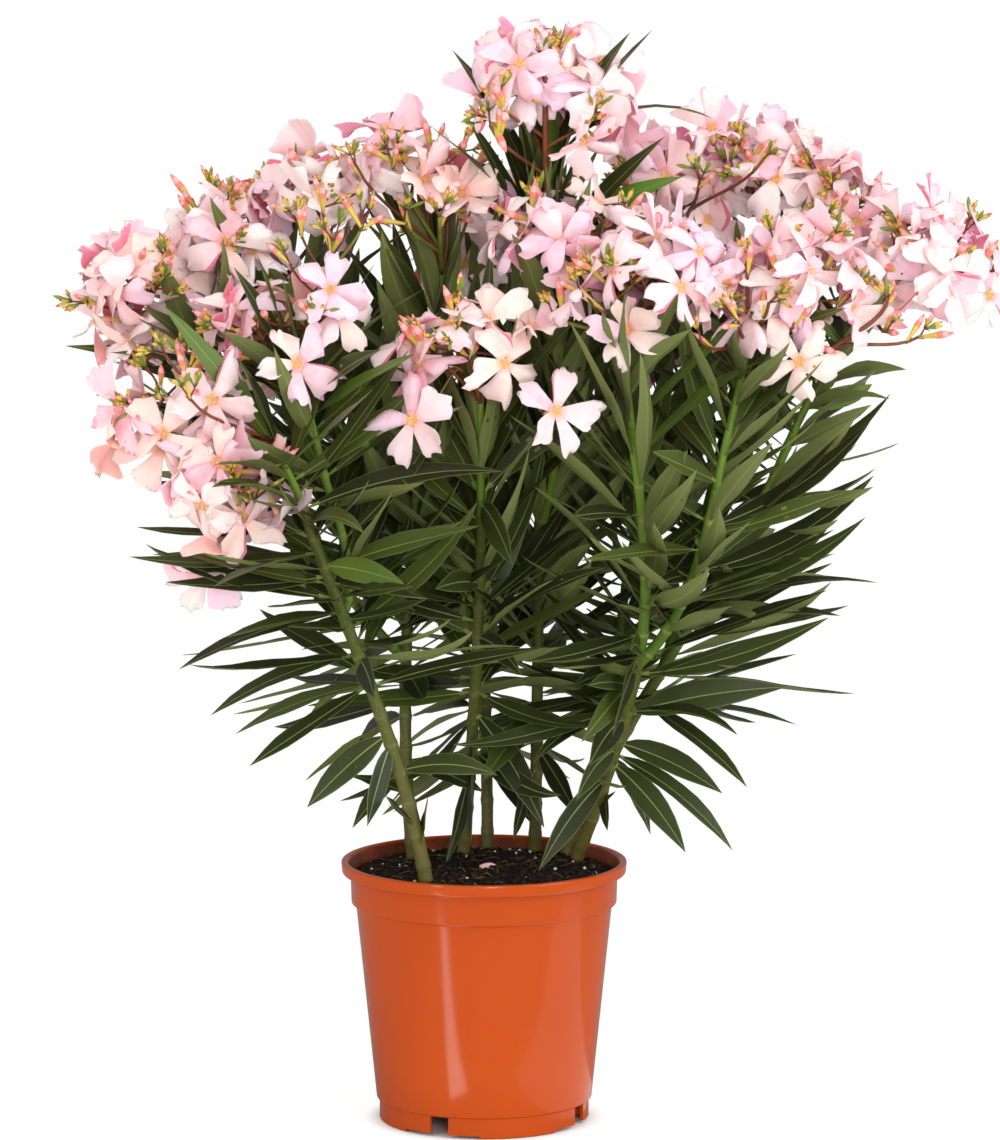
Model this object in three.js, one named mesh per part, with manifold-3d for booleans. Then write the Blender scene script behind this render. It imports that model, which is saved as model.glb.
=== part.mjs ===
// A pink oleander in a round moulded pot, in millimetres, +Z up.
// The origin is the middle of the pot's flat underside; the plant's front is towards -Y.
// Seven canes rise from the compost and fork into boughs. Every mass of leaves and blossom is
// one solid that grows from one twig, and that twig starts 0.3 mm clear of the limb it meets.
import * as THREE from "three";
import { mergeVertices } from "three/addons/utils/BufferGeometryUtils.js";
import Module from "manifold-3d";

const wasm = await Module();
wasm.setup();

// ---------------------------------------------------------------- driving dimensions
const CLEARANCE = 0.3; // between any two pieces that meet

// Pot: a 19 cm nursery pot with a rolled lip, a plain upper band and a foot band.
const POT_HEIGHT = 174;
const LIP_RADIUS = 95;
const LIP_HEIGHT = 8;
const BAND_RADIUS = 88.75;
const BAND_BOTTOM = 146;
const WALL_TOP_RADIUS = 85.15;
const WALL_FOOT_RADIUS = 71.65;
const FOOT_BAND_TOP = 14.5;
const FOOT_RADIUS = 69.8;
const WALL = 2.2;
const FLOOR = 2.5;
const FOOT_RELIEF = 2; // how far the rim between the feet is raised
const FEET = 4;
const FOOT_TURN = 20; // degrees from the front to the first foot
const SLOT_WIDTH = 13;
const SLOT_HEIGHT = 13.5;
const CENTRE_BOSS_RADIUS = 20;
const LIP_ROUND = 1.4; // how much the lip's outer edges are rounded
const RIM_ROUND = 2.2; // and its inner edge, down to RIM_INNER_DROP
const RIM_INNER_DROP = 3;
const RELIEF_DEPTH = 24; // how far towards the middle the cuts in the foot reach
const SLOT_DEPTH = 12;
const FOOT_ARC = 22.5; // degrees of the foot ring, each way from the middle of a cut
const POT_SEGMENTS = 28;

// Canes swell towards the foot: by this share of the radius, over this share of the length.
const FLARE = 0.4;
const FLARE_SHARE = 0.07;

// Compost: a low dome that fills the pot.
const SOIL_EDGE = 165.5;
const SOIL_CROWN = 5.5;

// Leaves and blossoms, at their real size.
const LEAF_LENGTH = 118;
const LEAF_WIDTH = 17;
const LEAF_THICKNESS = 2.6;
const LEAF_WIDEST = 0.45; // share of the length
const WHORL_GAP = 29; // along a twig
const WHORL_LEAVES = 3;
const BLOSSOM_RADIUS = 26;
const NOTCH_RADIUS = 0.36; // between two petals, as a share of the blossom's radius
const PETAL_NEAR = 0.9; // the petal's leading corner
const THROAT_RADIUS = 0.17;
const THROAT_DEPTH = 0.24;
const MOUTH_DEPTH = 0.12;
const BLOSSOM_SHARE = 2; // one in this many of a cluster's blossoms is a solid here
const STALK_RADIUS = 3;
const STALK_TIP_RADIUS = 2.2;
const TWIG_RADIUS = 3.8;
const TWIG_TIP_RADIUS = 3;
const SIDE_TWIG_OFFSET = 17; // a side twig runs this far from its limb's centre line

// Leaves hang low down, lie level at half height and stand up near the top: [height, degrees].
const LEAF_RISE = [[215, -42], [285, -12], [360, 4], [450, 22], [540, 46], [640, 66]];

// Canes: foot on the compost [x, y], top [x, y, z], the ways they leave and arrive, radii.
const CANES = [
  {
    name: "cane_front_left", foot: [-38, -52], top: [-118.8, -74, 424],
    leave: [-0.16, 0, 1], arrive: [-0.34, 0, 1], radii: [5.8, 3.4],
  },
  {
    name: "cane_middle", foot: [-14, 44], top: [-2, -20, 417],
    leave: [0.08, -0.1, 1], arrive: [0, -0.25, 1], radii: [5.2, 3.2],
  },
  {
    name: "cane_centre_tall", foot: [34, 60], top: [39, 45, 523],
    leave: [0.02, 0, 1], arrive: [0.02, -0.05, 1], radii: [5.2, 3],
  },
  {
    name: "cane_right", foot: [62, 32], top: [102.8, -15, 317],
    leave: [0.34, -0.25, 1], arrive: [0.16, -0.22, 1], radii: [5.5, 4.2],
  },
  {
    name: "cane_back_right", foot: [55, 50], top: [127, 45, 308],
    leave: [0.38, 0, 1], arrive: [0.6, 0, 1], radii: [5.2, 4],
  },
  {
    name: "cane_back_left", foot: [-48, 28], top: [-50.8, 40, 336],
    leave: [-0.1, 0.02, 1], arrive: [0.05, 0, 1], radii: [5, 3.8],
  },
  {
    name: "cane_back", foot: [2, 74], top: [0, 108, 330],
    leave: [0, 0.1, 1], arrive: [0, 0.2, 1], radii: [5, 3.8],
  },
];

// Boughs: the limb and the share of it that they leave from, top, ways and radii.
const BOUGHS = [
  {
    name: "bough_left_low", from: "cane_front_left", at: 0.7, top: [-107.9, -45, 453],
    leave: [0.5, 0.8, 1], arrive: [-0.2, 0, 1], radii: [3.2, 2.6],
  },
  {
    name: "bough_centre", from: "cane_centre_tall", at: 0.62, top: [50, 3, 494],
    leave: [0.35, -1, 1], arrive: [0.02, -0.1, 1], radii: [3.2, 2.6],
  },
  {
    name: "bough_right_inner", from: "cane_right", at: 1, top: [96.4, -50, 467],
    leave: [0.12, -0.3, 1], arrive: [-0.12, -0.08, 1], radii: [3.9, 2.9],
  },
  {
    name: "bough_right_outer", from: "cane_right", at: 0.93, top: [151.3, -45, 427],
    leave: [1, -0.2, 1], arrive: [0.2, 0, 1], radii: [3.7, 2.9],
  },
  {
    name: "bough_far_right", from: "cane_back_right", at: 1, top: [202.9, 30, 451],
    leave: [0.7, -0.1, 1], arrive: [0.4, 0, 1], radii: [3.7, 2.8],
  },
  {
    name: "bough_upper_right", from: "cane_back_right", at: 0.9, top: [166, 84, 473],
    leave: [0.4, 1, 1], arrive: [0.2, 0, 1], radii: [3.4, 2.7],
  },
  {
    name: "bough_right_back", from: "cane_back_right", at: 0.66, top: [118, 96, 468],
    leave: [-0.5, 1, 1], arrive: [0.1, 0, 1], radii: [3.4, 2.7],
  },
  {
    name: "bough_far_left", from: "cane_back_left", at: 0.8, top: [-145.2, 26, 458],
    leave: [-1, -0.1, 0.9], arrive: [-0.4, 0, 1], radii: [3.5, 2.7],
  },
  {
    name: "bough_upper_left", from: "cane_back_left", at: 0.93, top: [-104, 70, 474],
    leave: [-0.8, 0.8, 1], arrive: [-0.2, 0, 1], radii: [3.4, 2.7],
  },
  {
    name: "bough_left_centre", from: "cane_back_left", at: 1, top: [-39.4, 48, 462],
    leave: [0.06, 0, 1], arrive: [0.1, 0, 1], radii: [3.6, 2.8],
  },
  {
    name: "bough_back_left", from: "cane_back", at: 0.9, top: [-86, 142, 430],
    leave: [-1, 0.4, 1], arrive: [-0.4, 0.1, 1], radii: [3.4, 2.7],
  },
  {
    name: "bough_back_centre", from: "cane_back", at: 1, top: [-6, 156, 462],
    leave: [0, 0.35, 1], arrive: [0, 0.15, 1], radii: [3.6, 2.7],
  },
  {
    name: "bough_back_right", from: "cane_back", at: 0.8, top: [84, 146, 436],
    leave: [1, 0.4, 1], arrive: [0.4, 0.1, 1], radii: [3.4, 2.7],
  },
];

// Flowering tops: the limb whose tip they grow on, the hub where the flower stalks part, and the
// clusters on it, each a middle, half sizes, a count of blossoms and how far round it they go.
const TOPS = [
  {
    name: "top_left_low", limb: "cane_front_left", hub: [-136, -78, 462],
    clusters: [
      { at: [-200, -52, 474], size: [44, 36, 46], count: 16, round: 1.5 },
      { at: [-163, -82, 428], size: [34, 26, 40], count: 12, round: 1.9 },
    ],
  },
  {
    name: "top_left_centre", limb: "bough_left_low", hub: [-119, -45, 496],
    clusters: [
      { at: [-133, -44, 528], size: [46, 32, 30], count: 12, round: 1.3 },
    ],
  },
  {
    name: "top_middle", limb: "cane_middle", hub: [-2, -45, 484],
    clusters: [
      { at: [-2, -64, 512], size: [52, 26, 36], count: 12, round: 1.5 },
    ],
  },
  {
    name: "top_crown", limb: "cane_centre_tall", hub: [40, 35, 640],
    clusters: [
      { at: [37, 25, 684], size: [60, 48, 46], count: 30, round: 1.3 },
    ],
  },
  {
    name: "top_centre", limb: "bough_centre", hub: [50, -5, 556],
    clusters: [
      { at: [50, -10, 588], size: [54, 34, 30], count: 14, round: 1.2 },
    ],
  },
  {
    name: "top_right_inner", limb: "bough_right_inner", hub: [87, -56, 528],
    clusters: [
      { at: [108, -54, 562], size: [46, 36, 36], count: 15, round: 1.4 },
    ],
  },
  {
    name: "top_right_outer", limb: "bough_right_outer", hub: [172, -40, 520],
    clusters: [
      { at: [203, -34, 556], size: [46, 38, 44], count: 19, round: 1.5 },
    ],
  },
  {
    name: "top_far_right", limb: "bough_far_right", hub: [254, 25, 540],
    clusters: [
      { at: [297, 18, 566], size: [42, 38, 42], count: 19, round: 1.6 },
    ],
  },
  {
    name: "top_upper_right", limb: "bough_upper_right", hub: [202, 76, 566],
    clusters: [
      { at: [236, 66, 602], size: [36, 36, 34], count: 14, round: 1.4 },
      { at: [184, 78, 622], size: [36, 34, 32], count: 12, round: 1.2 },
    ],
  },
  {
    name: "top_right_back", limb: "bough_right_back", hub: [132, 92, 562],
    clusters: [
      { at: [132, 84, 606], size: [36, 40, 34], count: 14, round: 1.4 },
    ],
  },
  {
    name: "top_far_left", limb: "bough_far_left", hub: [-196, 22, 522],
    clusters: [
      { at: [-232, 16, 542], size: [36, 38, 44], count: 17, round: 1.6 },
    ],
  },
  {
    name: "top_upper_left", limb: "bough_upper_left", hub: [-136, 64, 554],
    clusters: [
      { at: [-112, 58, 608], size: [38, 38, 30], count: 13, round: 1.3 },
      { at: [-174, 48, 586], size: [38, 38, 32], count: 14, round: 1.4 },
    ],
  },
  {
    name: "top_left_inner", limb: "bough_left_centre", hub: [-28, 45, 560],
    clusters: [
      { at: [-42, 40, 622], size: [46, 42, 42], count: 18, round: 1.4 },
    ],
  },
  {
    name: "top_back_left", limb: "bough_back_left", hub: [-128, 158, 480],
    clusters: [
      { at: [-146, 162, 516], size: [46, 42, 38], count: 17, round: 1.5 },
    ],
  },
  {
    name: "top_back_centre", limb: "bough_back_centre", hub: [-8, 172, 528],
    clusters: [
      { at: [-4, 176, 566], size: [48, 44, 38], count: 18, round: 1.5 },
    ],
  },
  {
    name: "top_back_right", limb: "bough_back_right", hub: [120, 164, 488],
    clusters: [
      { at: [138, 168, 524], size: [46, 42, 38], count: 17, round: 1.5 },
    ],
  },
];

// Leafy side shoots: limb, share of it where they start, compass way (0 front, 90 right), length.
const SIDE_SHOOTS = [
  { name: "leaves_front_left_foot", limb: "cane_front_left", at: 0.24, way: -70, length: 80 },
  { name: "leaves_front_left_outer", limb: "cane_front_left", at: 0.48, way: -110, length: 100 },
  { name: "leaves_front_left_inner", limb: "cane_front_left", at: 0.44, way: 60, length: 100 },
  { name: "leaves_middle_low", limb: "cane_middle", at: 0.12, way: -40, length: 80 },
  { name: "leaves_middle_high", limb: "cane_middle", at: 0.5, way: 30, length: 100 },
  { name: "leaves_centre_low", limb: "cane_centre_tall", at: 0.16, way: -20, length: 95 },
  { name: "leaves_centre_high", limb: "cane_centre_tall", at: 0.66, way: 170, length: 105 },
  { name: "leaves_right_low", limb: "cane_right", at: 0.18, way: 20, length: 95 },
  { name: "leaves_right_inner", limb: "bough_right_inner", at: 0.2, way: -60, length: 100 },
  { name: "leaves_right_outer", limb: "bough_right_outer", at: 0.2, way: 60, length: 90 },
  { name: "leaves_back_right_low", limb: "cane_back_right", at: 0.2, way: 110, length: 95 },
  { name: "leaves_far_right", limb: "bough_far_right", at: 0.12, way: 100, length: 100 },
  { name: "leaves_upper_right", limb: "bough_upper_right", at: 0.2, way: 140, length: 100 },
  { name: "leaves_back_left_low", limb: "cane_back_left", at: 0.2, way: -100, length: 95 },
  { name: "leaves_far_left", limb: "bough_far_left", at: 0.3, way: -90, length: 80 },
  { name: "leaves_upper_left", limb: "bough_upper_left", at: 0.25, way: -150, length: 95 },
  { name: "leaves_left_centre", limb: "bough_left_centre", at: 0.1, way: 60, length: 90 },
  { name: "leaves_back_low", limb: "cane_back", at: 0.22, way: 180, length: 95 },
  { name: "leaves_back_mid_left", limb: "bough_back_left", at: 0.2, way: -170, length: 85 },
  { name: "leaves_back_mid_right", limb: "bough_back_right", at: 0.2, way: 170, length: 85 },
];

// ---------------------------------------------------------------- small tools
const UP = new THREE.Vector3(0, 0, 1);
const vec = (p) => new THREE.Vector3(...p);
const rad = THREE.MathUtils.degToRad;

// A repeatable stream of numbers in 0..1, the same in any language with 32-bit integers.
function seeded(seed) {
  let a = seed >>> 0;
  return () => {
    a = (a + 0x6d2b79f5) >>> 0;
    let t = a;
    t = Math.imul(t ^ (t >>> 15), t | 1);
    t ^= t + Math.imul(t ^ (t >>> 7), t | 61);
    return ((t ^ (t >>> 14)) >>> 0) / 4294967296;
  };
}
const within = (random, low, high) => low + (high - low) * random();

function solidOf(points, faces) {
  const vertProperties = new Float32Array(points.flatMap((p) => [p.x, p.y, p.z]));
  const triVerts = new Uint32Array(faces.flat());
  return new wasm.Manifold(new wasm.Mesh({ numProp: 3, vertProperties, triVerts }));
}

function solidOfGeometry(geometry) {
  const g = geometry.clone();
  g.deleteAttribute("normal");
  g.deleteAttribute("uv");
  const m = mergeVertices(g, 1e-4);
  const vertProperties = m.attributes.position.array;
  const triVerts = new Uint32Array(m.index.array);
  return new wasm.Manifold(new wasm.Mesh({ numProp: 3, vertProperties, triVerts }));
}

function geometryOf(solid) {
  const m = solid.getMesh();
  const g = new THREE.BufferGeometry();
  g.setAttribute("position", new THREE.BufferAttribute(new Float32Array(m.vertProperties), 3));
  g.setIndex(new THREE.BufferAttribute(new Uint32Array(m.triVerts), 1));
  g.computeVertexNormals();
  return g;
}

// Closes a row of equal rings into a skin; each end is a flat cap or runs to a point.
function loft(rings, startPoint, endPoint) {
  const n = rings[0].length;
  const points = rings.flat();
  const faces = [];
  for (let r = 0; r + 1 < rings.length; r++)
    for (let i = 0; i < n; i++) {
      const j = (i + 1) % n;
      const [near, nearNext] = [r * n + i, r * n + j];
      const [far, farNext] = [(r + 1) * n + i, (r + 1) * n + j];
      faces.push([near, nearNext, farNext], [near, farNext, far]);
    }
  const last = (rings.length - 1) * n;
  if (startPoint) points.push(startPoint);
  const startIndex = points.length - 1;
  if (endPoint) points.push(endPoint);
  const endIndex = points.length - 1;
  for (let i = startPoint ? 0 : 1; i < (startPoint ? n : n - 1); i++)
    faces.push([startPoint ? startIndex : 0, (i + 1) % n, i]);
  for (let i = endPoint ? 0 : 1; i < (endPoint ? n : n - 1); i++)
    faces.push([endPoint ? endIndex : last, last + i, last + ((i + 1) % n)]);
  return solidOf(points, faces);
}

function ringAt(centre, along, radius, sides) {
  const across = new THREE.Vector3(0, 1, 0).cross(along).normalize();
  const other = along.clone().cross(across).normalize();
  return Array.from({ length: sides }, (_, i) => {
    const a = (2 * Math.PI * i) / sides;
    return centre.clone()
      .addScaledVector(across, radius * Math.cos(a))
      .addScaledVector(other, radius * Math.sin(a));
  });
}

// A limb's centre line, from its start to its end, with the ways it leaves and arrives.
function lineOf(start, end, leave, arrive) {
  const reach = start.distanceTo(end) / 3;
  const first = start.clone().addScaledVector(vec(leave).normalize(), reach);
  const second = end.clone().addScaledVector(vec(arrive).normalize(), -reach);
  return new THREE.CubicBezierCurve3(start, first, second, end);
}

// over is how far the tube runs on past its end.
function taperedTube(line, radiusAt, stations, sides, flatFoot = false, over = 0) {
  return loft(stations.map((t) => {
    const along = flatFoot && t === 0 ? UP.clone() : line.getTangent(t);
    const centre = line.getPoint(t).addScaledVector(along, t === 1 ? over : 0);
    return ringAt(centre, along, radiusAt(t), sides);
  }));
}

// Its largest body: scraps are dropped, and a hollow sealed by joining is filled.
function largestBody(solid) {
  return solid.decompose().reduce((best, b) => (b.volume() > best.volume() ? b : best));
}

// ---------------------------------------------------------------- pot and compost
function footAzimuth(k) {
  return rad(FOOT_TURN + (360 / FEET) * k - 90);
}

function makePot() {
  const innerTop = BAND_RADIUS - WALL;
  const wallInnerTop = WALL_TOP_RADIUS - WALL;
  const wallInnerFoot = WALL_FOOT_RADIUS - WALL;
  const floorBottom = FOOT_BAND_TOP - FLOOR;
  const profile = [
    [0, 0], [CENTRE_BOSS_RADIUS, 0], [CENTRE_BOSS_RADIUS + 1, floorBottom], [FOOT_RADIUS - WALL, floorBottom],
    [FOOT_RADIUS - WALL, 0], [FOOT_RADIUS - 1, 0], [FOOT_RADIUS, 1.5], [FOOT_RADIUS, FOOT_BAND_TOP - 1],
    [WALL_FOOT_RADIUS, FOOT_BAND_TOP], [WALL_TOP_RADIUS, BAND_BOTTOM - 1], [BAND_RADIUS - 0.6, BAND_BOTTOM],
    [BAND_RADIUS, POT_HEIGHT - LIP_HEIGHT - 0.5], [LIP_RADIUS - 1, POT_HEIGHT - LIP_HEIGHT],
    [LIP_RADIUS, POT_HEIGHT - LIP_ROUND], [LIP_RADIUS - LIP_ROUND, POT_HEIGHT],
    [innerTop + RIM_ROUND, POT_HEIGHT], [innerTop, POT_HEIGHT - RIM_INNER_DROP],
    [innerTop - 0.6, BAND_BOTTOM + 2], [wallInnerTop, BAND_BOTTOM - 2],
    [wallInnerFoot, FOOT_BAND_TOP], [0, FOOT_BAND_TOP],
  ];
  const lathe = new THREE.LatheGeometry(profile.map((p) => new THREE.Vector2(...p)), POT_SEGMENTS);
  lathe.rotateX(Math.PI / 2);
  let pot = solidOfGeometry(lathe);
  for (let k = 0; k < FEET; k++) {
    const between = footAzimuth(k + 0.5);
    const reliefWidth = 2 * FOOT_RADIUS * Math.sin(rad(FOOT_ARC));
    const relief = new THREE.BoxGeometry(RELIEF_DEPTH, reliefWidth, FOOT_RELIEF);
    relief.translate(FOOT_RADIUS - 3, 0, FOOT_RELIEF / 2 - 0.001);
    relief.rotateZ(between);
    const slot = new THREE.BoxGeometry(SLOT_DEPTH, SLOT_WIDTH, SLOT_HEIGHT);
    slot.translate(FOOT_RADIUS - 1, 0, SLOT_HEIGHT / 2 - 0.001);
    slot.rotateZ(between);
    pot = pot.subtract(solidOfGeometry(relief)).subtract(solidOfGeometry(slot));
  }
  return largestBody(pot);
}

const SOIL_RADIUS = BAND_RADIUS - WALL - CLEARANCE - 0.8;
const soilTop = (r) => SOIL_EDGE + SOIL_CROWN * (1 - (r / SOIL_RADIUS) ** 2);

function makeCompost() {
  const rimInner = BAND_RADIUS - WALL - CLEARANCE;
  const wallTop = WALL_TOP_RADIUS - WALL - CLEARANCE;
  const wallFoot = WALL_FOOT_RADIUS - WALL - CLEARANCE;
  const floor = FOOT_BAND_TOP + CLEARANCE;
  const dome = [SOIL_RADIUS, 60, 32, 0].map((r) => [r, soilTop(r)]);
  const profile = [
    [0, floor], [wallFoot, floor], [wallTop, BAND_BOTTOM - 2], [rimInner - 1, BAND_BOTTOM + 4], ...dome,
  ];
  const lathe = new THREE.LatheGeometry(profile.map((p) => new THREE.Vector2(...p)), POT_SEGMENTS);
  lathe.rotateX(Math.PI / 2);
  return solidOfGeometry(lathe);
}

// ---------------------------------------------------------------- canes and boughs
const limbs = new Map();
const SHELL = CLEARANCE * 1.15; // a limb's shell is this much larger than the limb, all round
const CANE_SIDES = 8;
const BOUGH_SIDES = 6;
const CANE_STATIONS = [0, 0.035, 0.08, 0.24, 0.42, 0.6, 0.8, 1];
const BOUGH_STATIONS = [0, 0.14, 0.34, 0.62, 1];

// The foot of a cane swells where it meets the compost.
const flare = (t) => 1 + FLARE * Math.max(0, 1 - t / FLARE_SHARE) ** 2;

// A limb is cut clear of every limb before it, so that it starts on the skin of its parent.
function growLimb(name, line, radii, stations, flatFoot) {
  const radiusAt = (t) => THREE.MathUtils.lerp(radii[0], radii[1], t) * (flatFoot ? flare(t) : 1);
  const sides = flatFoot ? CANE_SIDES : BOUGH_SIDES;
  let solid = taperedTube(line, radiusAt, stations, sides, flatFoot);
  if (!flatFoot)
    for (const earlier of limbs.values()) solid = solid.subtract(earlier.shell);
  solid = largestBody(solid);
  const shell = taperedTube(line, (t) => radiusAt(t) + SHELL, stations, sides, flatFoot, SHELL);
  limbs.set(name, { name, line, radii, solid, shell, length: line.getLength() });
}

for (const c of CANES) {
  const nearest = Math.hypot(...c.foot) - c.radii[0] * 1.4;
  const foot = new THREE.Vector3(...c.foot, soilTop(nearest) + CLEARANCE);
  growLimb(c.name, lineOf(foot, vec(c.top), c.leave, c.arrive), c.radii, CANE_STATIONS, true);
}

// A bough starts inside the limb it leaves and is cut clear of it, or goes on from its flat tip.
for (const b of BOUGHS) {
  const parent = limbs.get(b.from);
  const start = parent.line.getPoint(b.at);
  const goesOn = b.at === 1;
  const leave = goesOn ? parent.line.getTangent(1).toArray() : b.leave;
  growLimb(b.name, lineOf(start, vec(b.top), leave, b.arrive), b.radii, BOUGH_STATIONS, false);
}

// ---------------------------------------------------------------- leaves, blossoms, twigs
// A long narrow leaf of eight faces: it bends at its widest part and runs out to a point each
// way. skip is how much of its root end is left off, and extra is added all round.
function makeLeaf(leaf, skip = 0, extra = 0) {
  const first = leaf.way.clone();
  const side = first.clone().cross(UP).normalize();
  const second = first.clone().applyAxisAngle(side, leaf.bend);
  const flat = side.clone().applyAxisAngle(first, leaf.roll);
  const face = flat.clone().cross(first).normalize();
  const root = leaf.root.clone().addScaledVector(first, skip - extra);
  const widest = leaf.root.clone().addScaledVector(first, leaf.length * LEAF_WIDEST);
  const tip = widest.clone().addScaledVector(second, leaf.length * (1 - LEAF_WIDEST) + extra);
  const across = leaf.width / 2 + 2 * extra;
  const through = LEAF_THICKNESS / 2 + extra;
  const ring = [[0, -through], [-across, 0], [0, through], [across, 0]].map(([w, t]) =>
    widest.clone().addScaledVector(flat, w).addScaledVector(face, t));
  return loft([ring], root, tip);
}

// An open blossom: five broad petals turned like a pinwheel, and a funnel that tapers into the
// stalk and ends inside what carries it.
function makeBlossom(at, facing, spin, size, carrier) {
  const across = new THREE.Vector3(0.3, 1, 0.2).cross(facing).normalize();
  const other = facing.clone().cross(across).normalize();
  const point = (angle, radius, rise) => at.clone()
    .addScaledVector(across, radius * size * Math.cos(angle))
    .addScaledVector(other, radius * size * Math.sin(angle))
    .addScaledVector(facing, rise * size);
  const outline = [];
  const throat = [];
  for (let k = 0; k < 5; k++) {
    const a = spin + rad(72 * k);
    outline.push(point(a - rad(36), NOTCH_RADIUS, -0.06));
    outline.push(point(a - rad(19), PETAL_NEAR, 0.03));
    outline.push(point(a + rad(24), 1, 0.1));
    throat.push(point(a - rad(36), THROAT_RADIUS, -THROAT_DEPTH));
  }
  const points = [...outline, ...throat, point(0, 0, -MOUTH_DEPTH), carrier];
  const [centre, apex] = [20, 21];
  const faces = [];
  for (let k = 0; k < 5; k++) {
    const [notch, near, far, next] = [3 * k, 3 * k + 1, 3 * k + 2, (3 * k + 3) % 15];
    const [t, u] = [15 + k, 15 + ((k + 1) % 5)];
    faces.push([centre, notch, near], [centre, near, far], [centre, far, next]);
    faces.push([t, near, notch], [t, far, near], [t, next, far], [t, u, next], [t, apex, u]);
  }
  return solidOf(points, faces);
}

const TWIG_SIDES = 3;
function makeStalk(start, end, startRadius, endRadius) {
  const along = end.clone().sub(start).normalize();
  return loft([ringAt(start, along, startRadius, TWIG_SIDES), ringAt(end, along, endRadius, TWIG_SIDES)]);
}

function riseAt(height) {
  const i = LEAF_RISE.findIndex(([h]) => h > height);
  if (i === 0) return LEAF_RISE[0][1];
  if (i < 0) return LEAF_RISE.at(-1)[1];
  const [[h0, a0], [h1, a1]] = [LEAF_RISE[i - 1], LEAF_RISE[i]];
  return a0 + ((a1 - a0) * (height - h0)) / (h1 - h0);
}

// The leaves of a twig: whorls of three, each turned half a gap against the last.
function leavesAlong(line, random) {
  const leaves = [];
  const whorls = Math.max(2, Math.round(line.getLength() / WHORL_GAP));
  for (let w = 0; w < whorls; w++) {
    const t = (w + 0.75) / (whorls + 0.2);
    const root = line.getPoint(Math.min(t, 0.97));
    for (let j = 0; j < WHORL_LEAVES; j++) {
      const azimuth = rad(60 * w + 120 * j + within(random, -18, 18));
      const rise = rad(riseAt(root.z) + within(random, -9, 9));
      const length = LEAF_LENGTH * within(random, 0.82, 1.12) * (root.z < 260 ? 0.82 : 1);
      const bend = rad(within(random, -16, 14));
      const roll = rad(within(random, -28, 28));
      const width = LEAF_WIDTH * within(random, 0.85, 1.1);
      leaves.push({ root, azimuth, rise, length, bend, roll, width });
    }
  }
  return leaves;
}

// The blossoms of a cluster: spread round it by the golden angle, each facing out on its stalk.
const GOLDEN = Math.PI * (3 - Math.sqrt(5));
function blossomsOf(cluster, hub, random) {
  const middle = vec(cluster.at);
  const start = within(random, 0, 2 * Math.PI);
  return Array.from({ length: cluster.count }, (_, i) => {
    const lift = 1 - ((i + 0.5) / cluster.count) * cluster.round;
    const round = Math.sqrt(1 - lift * lift);
    const turn = start + GOLDEN * i;
    const out = new THREE.Vector3(round * Math.cos(turn), round * Math.sin(turn), lift);
    const share = within(random, 0.72, 0.98);
    const at = middle.clone().add(out.clone().multiply(vec(cluster.size)).multiplyScalar(share));
    const facing = out.clone().add(at.clone().sub(hub).normalize().multiplyScalar(0.7));
    const aside = within(random, -0.35, 0.35);
    const ahead = within(random, -0.5, 0.15);
    facing.add(new THREE.Vector3(aside, ahead, within(random, -0.2, 0.35)));
    const spin = within(random, 0, 2 * Math.PI);
    const size = BLOSSOM_RADIUS * within(random, 0.9, 1.06);
    return { at, facing: facing.normalize(), spin, size, stalkFrom: within(random, 0.15, 0.7) };
  });
}

// ---------------------------------------------------------------- masses in their own space
const placed = []; // every leaf, blossom and twig so far, with its box and its mass
const meets = (a, b) => [0, 1, 2].every((i) => a.min[i] <= b.max[i] && b.min[i] <= a.max[i]);

function touchesAny(solid, others) {
  const box = solid.boundingBox();
  return others.some((other) => {
    if (!meets(box, other.box)) return false;
    const common = solid.intersect(other.solid);
    const hit = common.numTri() > 0;
    common.delete();
    return hit;
  });
}

const pot = makePot();
const compost = makeCompost();
const fixedSolids = [...[...limbs.values()].map((l) => l.shell), pot, compost];
const shells = fixedSolids.map((solid) => ({ solid, box: solid.boundingBox() }));
const ofOthers = (mass) => placed.filter((p) => p.mass !== mass);
const ofItself = (mass) => placed.filter((p) => p.mass === mass && p.kind !== "twig");
const isClear = (solid, mass) => !touchesAny(solid, shells) && !touchesAny(solid, ofOthers(mass));

function keep(solid, mass, kind) {
  placed.push({ solid, mass, kind, box: solid.boundingBox() });
  return solid;
}

const TURNS = [0, 13, -13, 26, -26, 39, -39]; // degrees a leaf may turn aside, in this order
const SHORTER = [1, 1, 1, 0.9, 0.9, 0.8, 0.8];
const ROOT_DEPTH = 1.1; // a leaf's point is sunk this far behind the twig's centre line
const BLADE_START = 16; // leaves of one twig may meet only nearer to it than this

function tryLeaf(leaf, mass) {
  for (let k = 0; k < TURNS.length; k++) {
    const azimuth = leaf.azimuth + rad(TURNS[k]);
    const level = Math.cos(leaf.rise);
    const way = new THREE.Vector3(Math.cos(azimuth) * level, Math.sin(azimuth) * level, Math.sin(leaf.rise));
    const root = leaf.root.clone().addScaledVector(way, -ROOT_DEPTH);
    const grown = { ...leaf, way, root, length: leaf.length * SHORTER[k] + ROOT_DEPTH };
    const wide = makeLeaf(grown, 0, CLEARANCE);
    const blade = makeLeaf(grown, BLADE_START);
    const free = isClear(wide, mass) && !touchesAny(blade, ofItself(mass));
    wide.delete();
    blade.delete();
    if (free) return makeLeaf(grown);
  }
  return null;
}

function joined(pieces) {
  let list = [...pieces];
  while (list.length > 1) {
    const next = [];
    for (let i = 0; i < list.length; i += 2)
      next.push(i + 1 < list.length ? list[i].add(list[i + 1]) : list[i]);
    list = next;
  }
  return list[0];
}

const TWIG_STATIONS = [0, 0.5, 1];
const TOP_SEED = 101;
const TOP_SEED_STEP = 7;
const SHOOT_SEED = 907;
const SHOOT_SEED_STEP = 11;
const masses = [];

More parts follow.
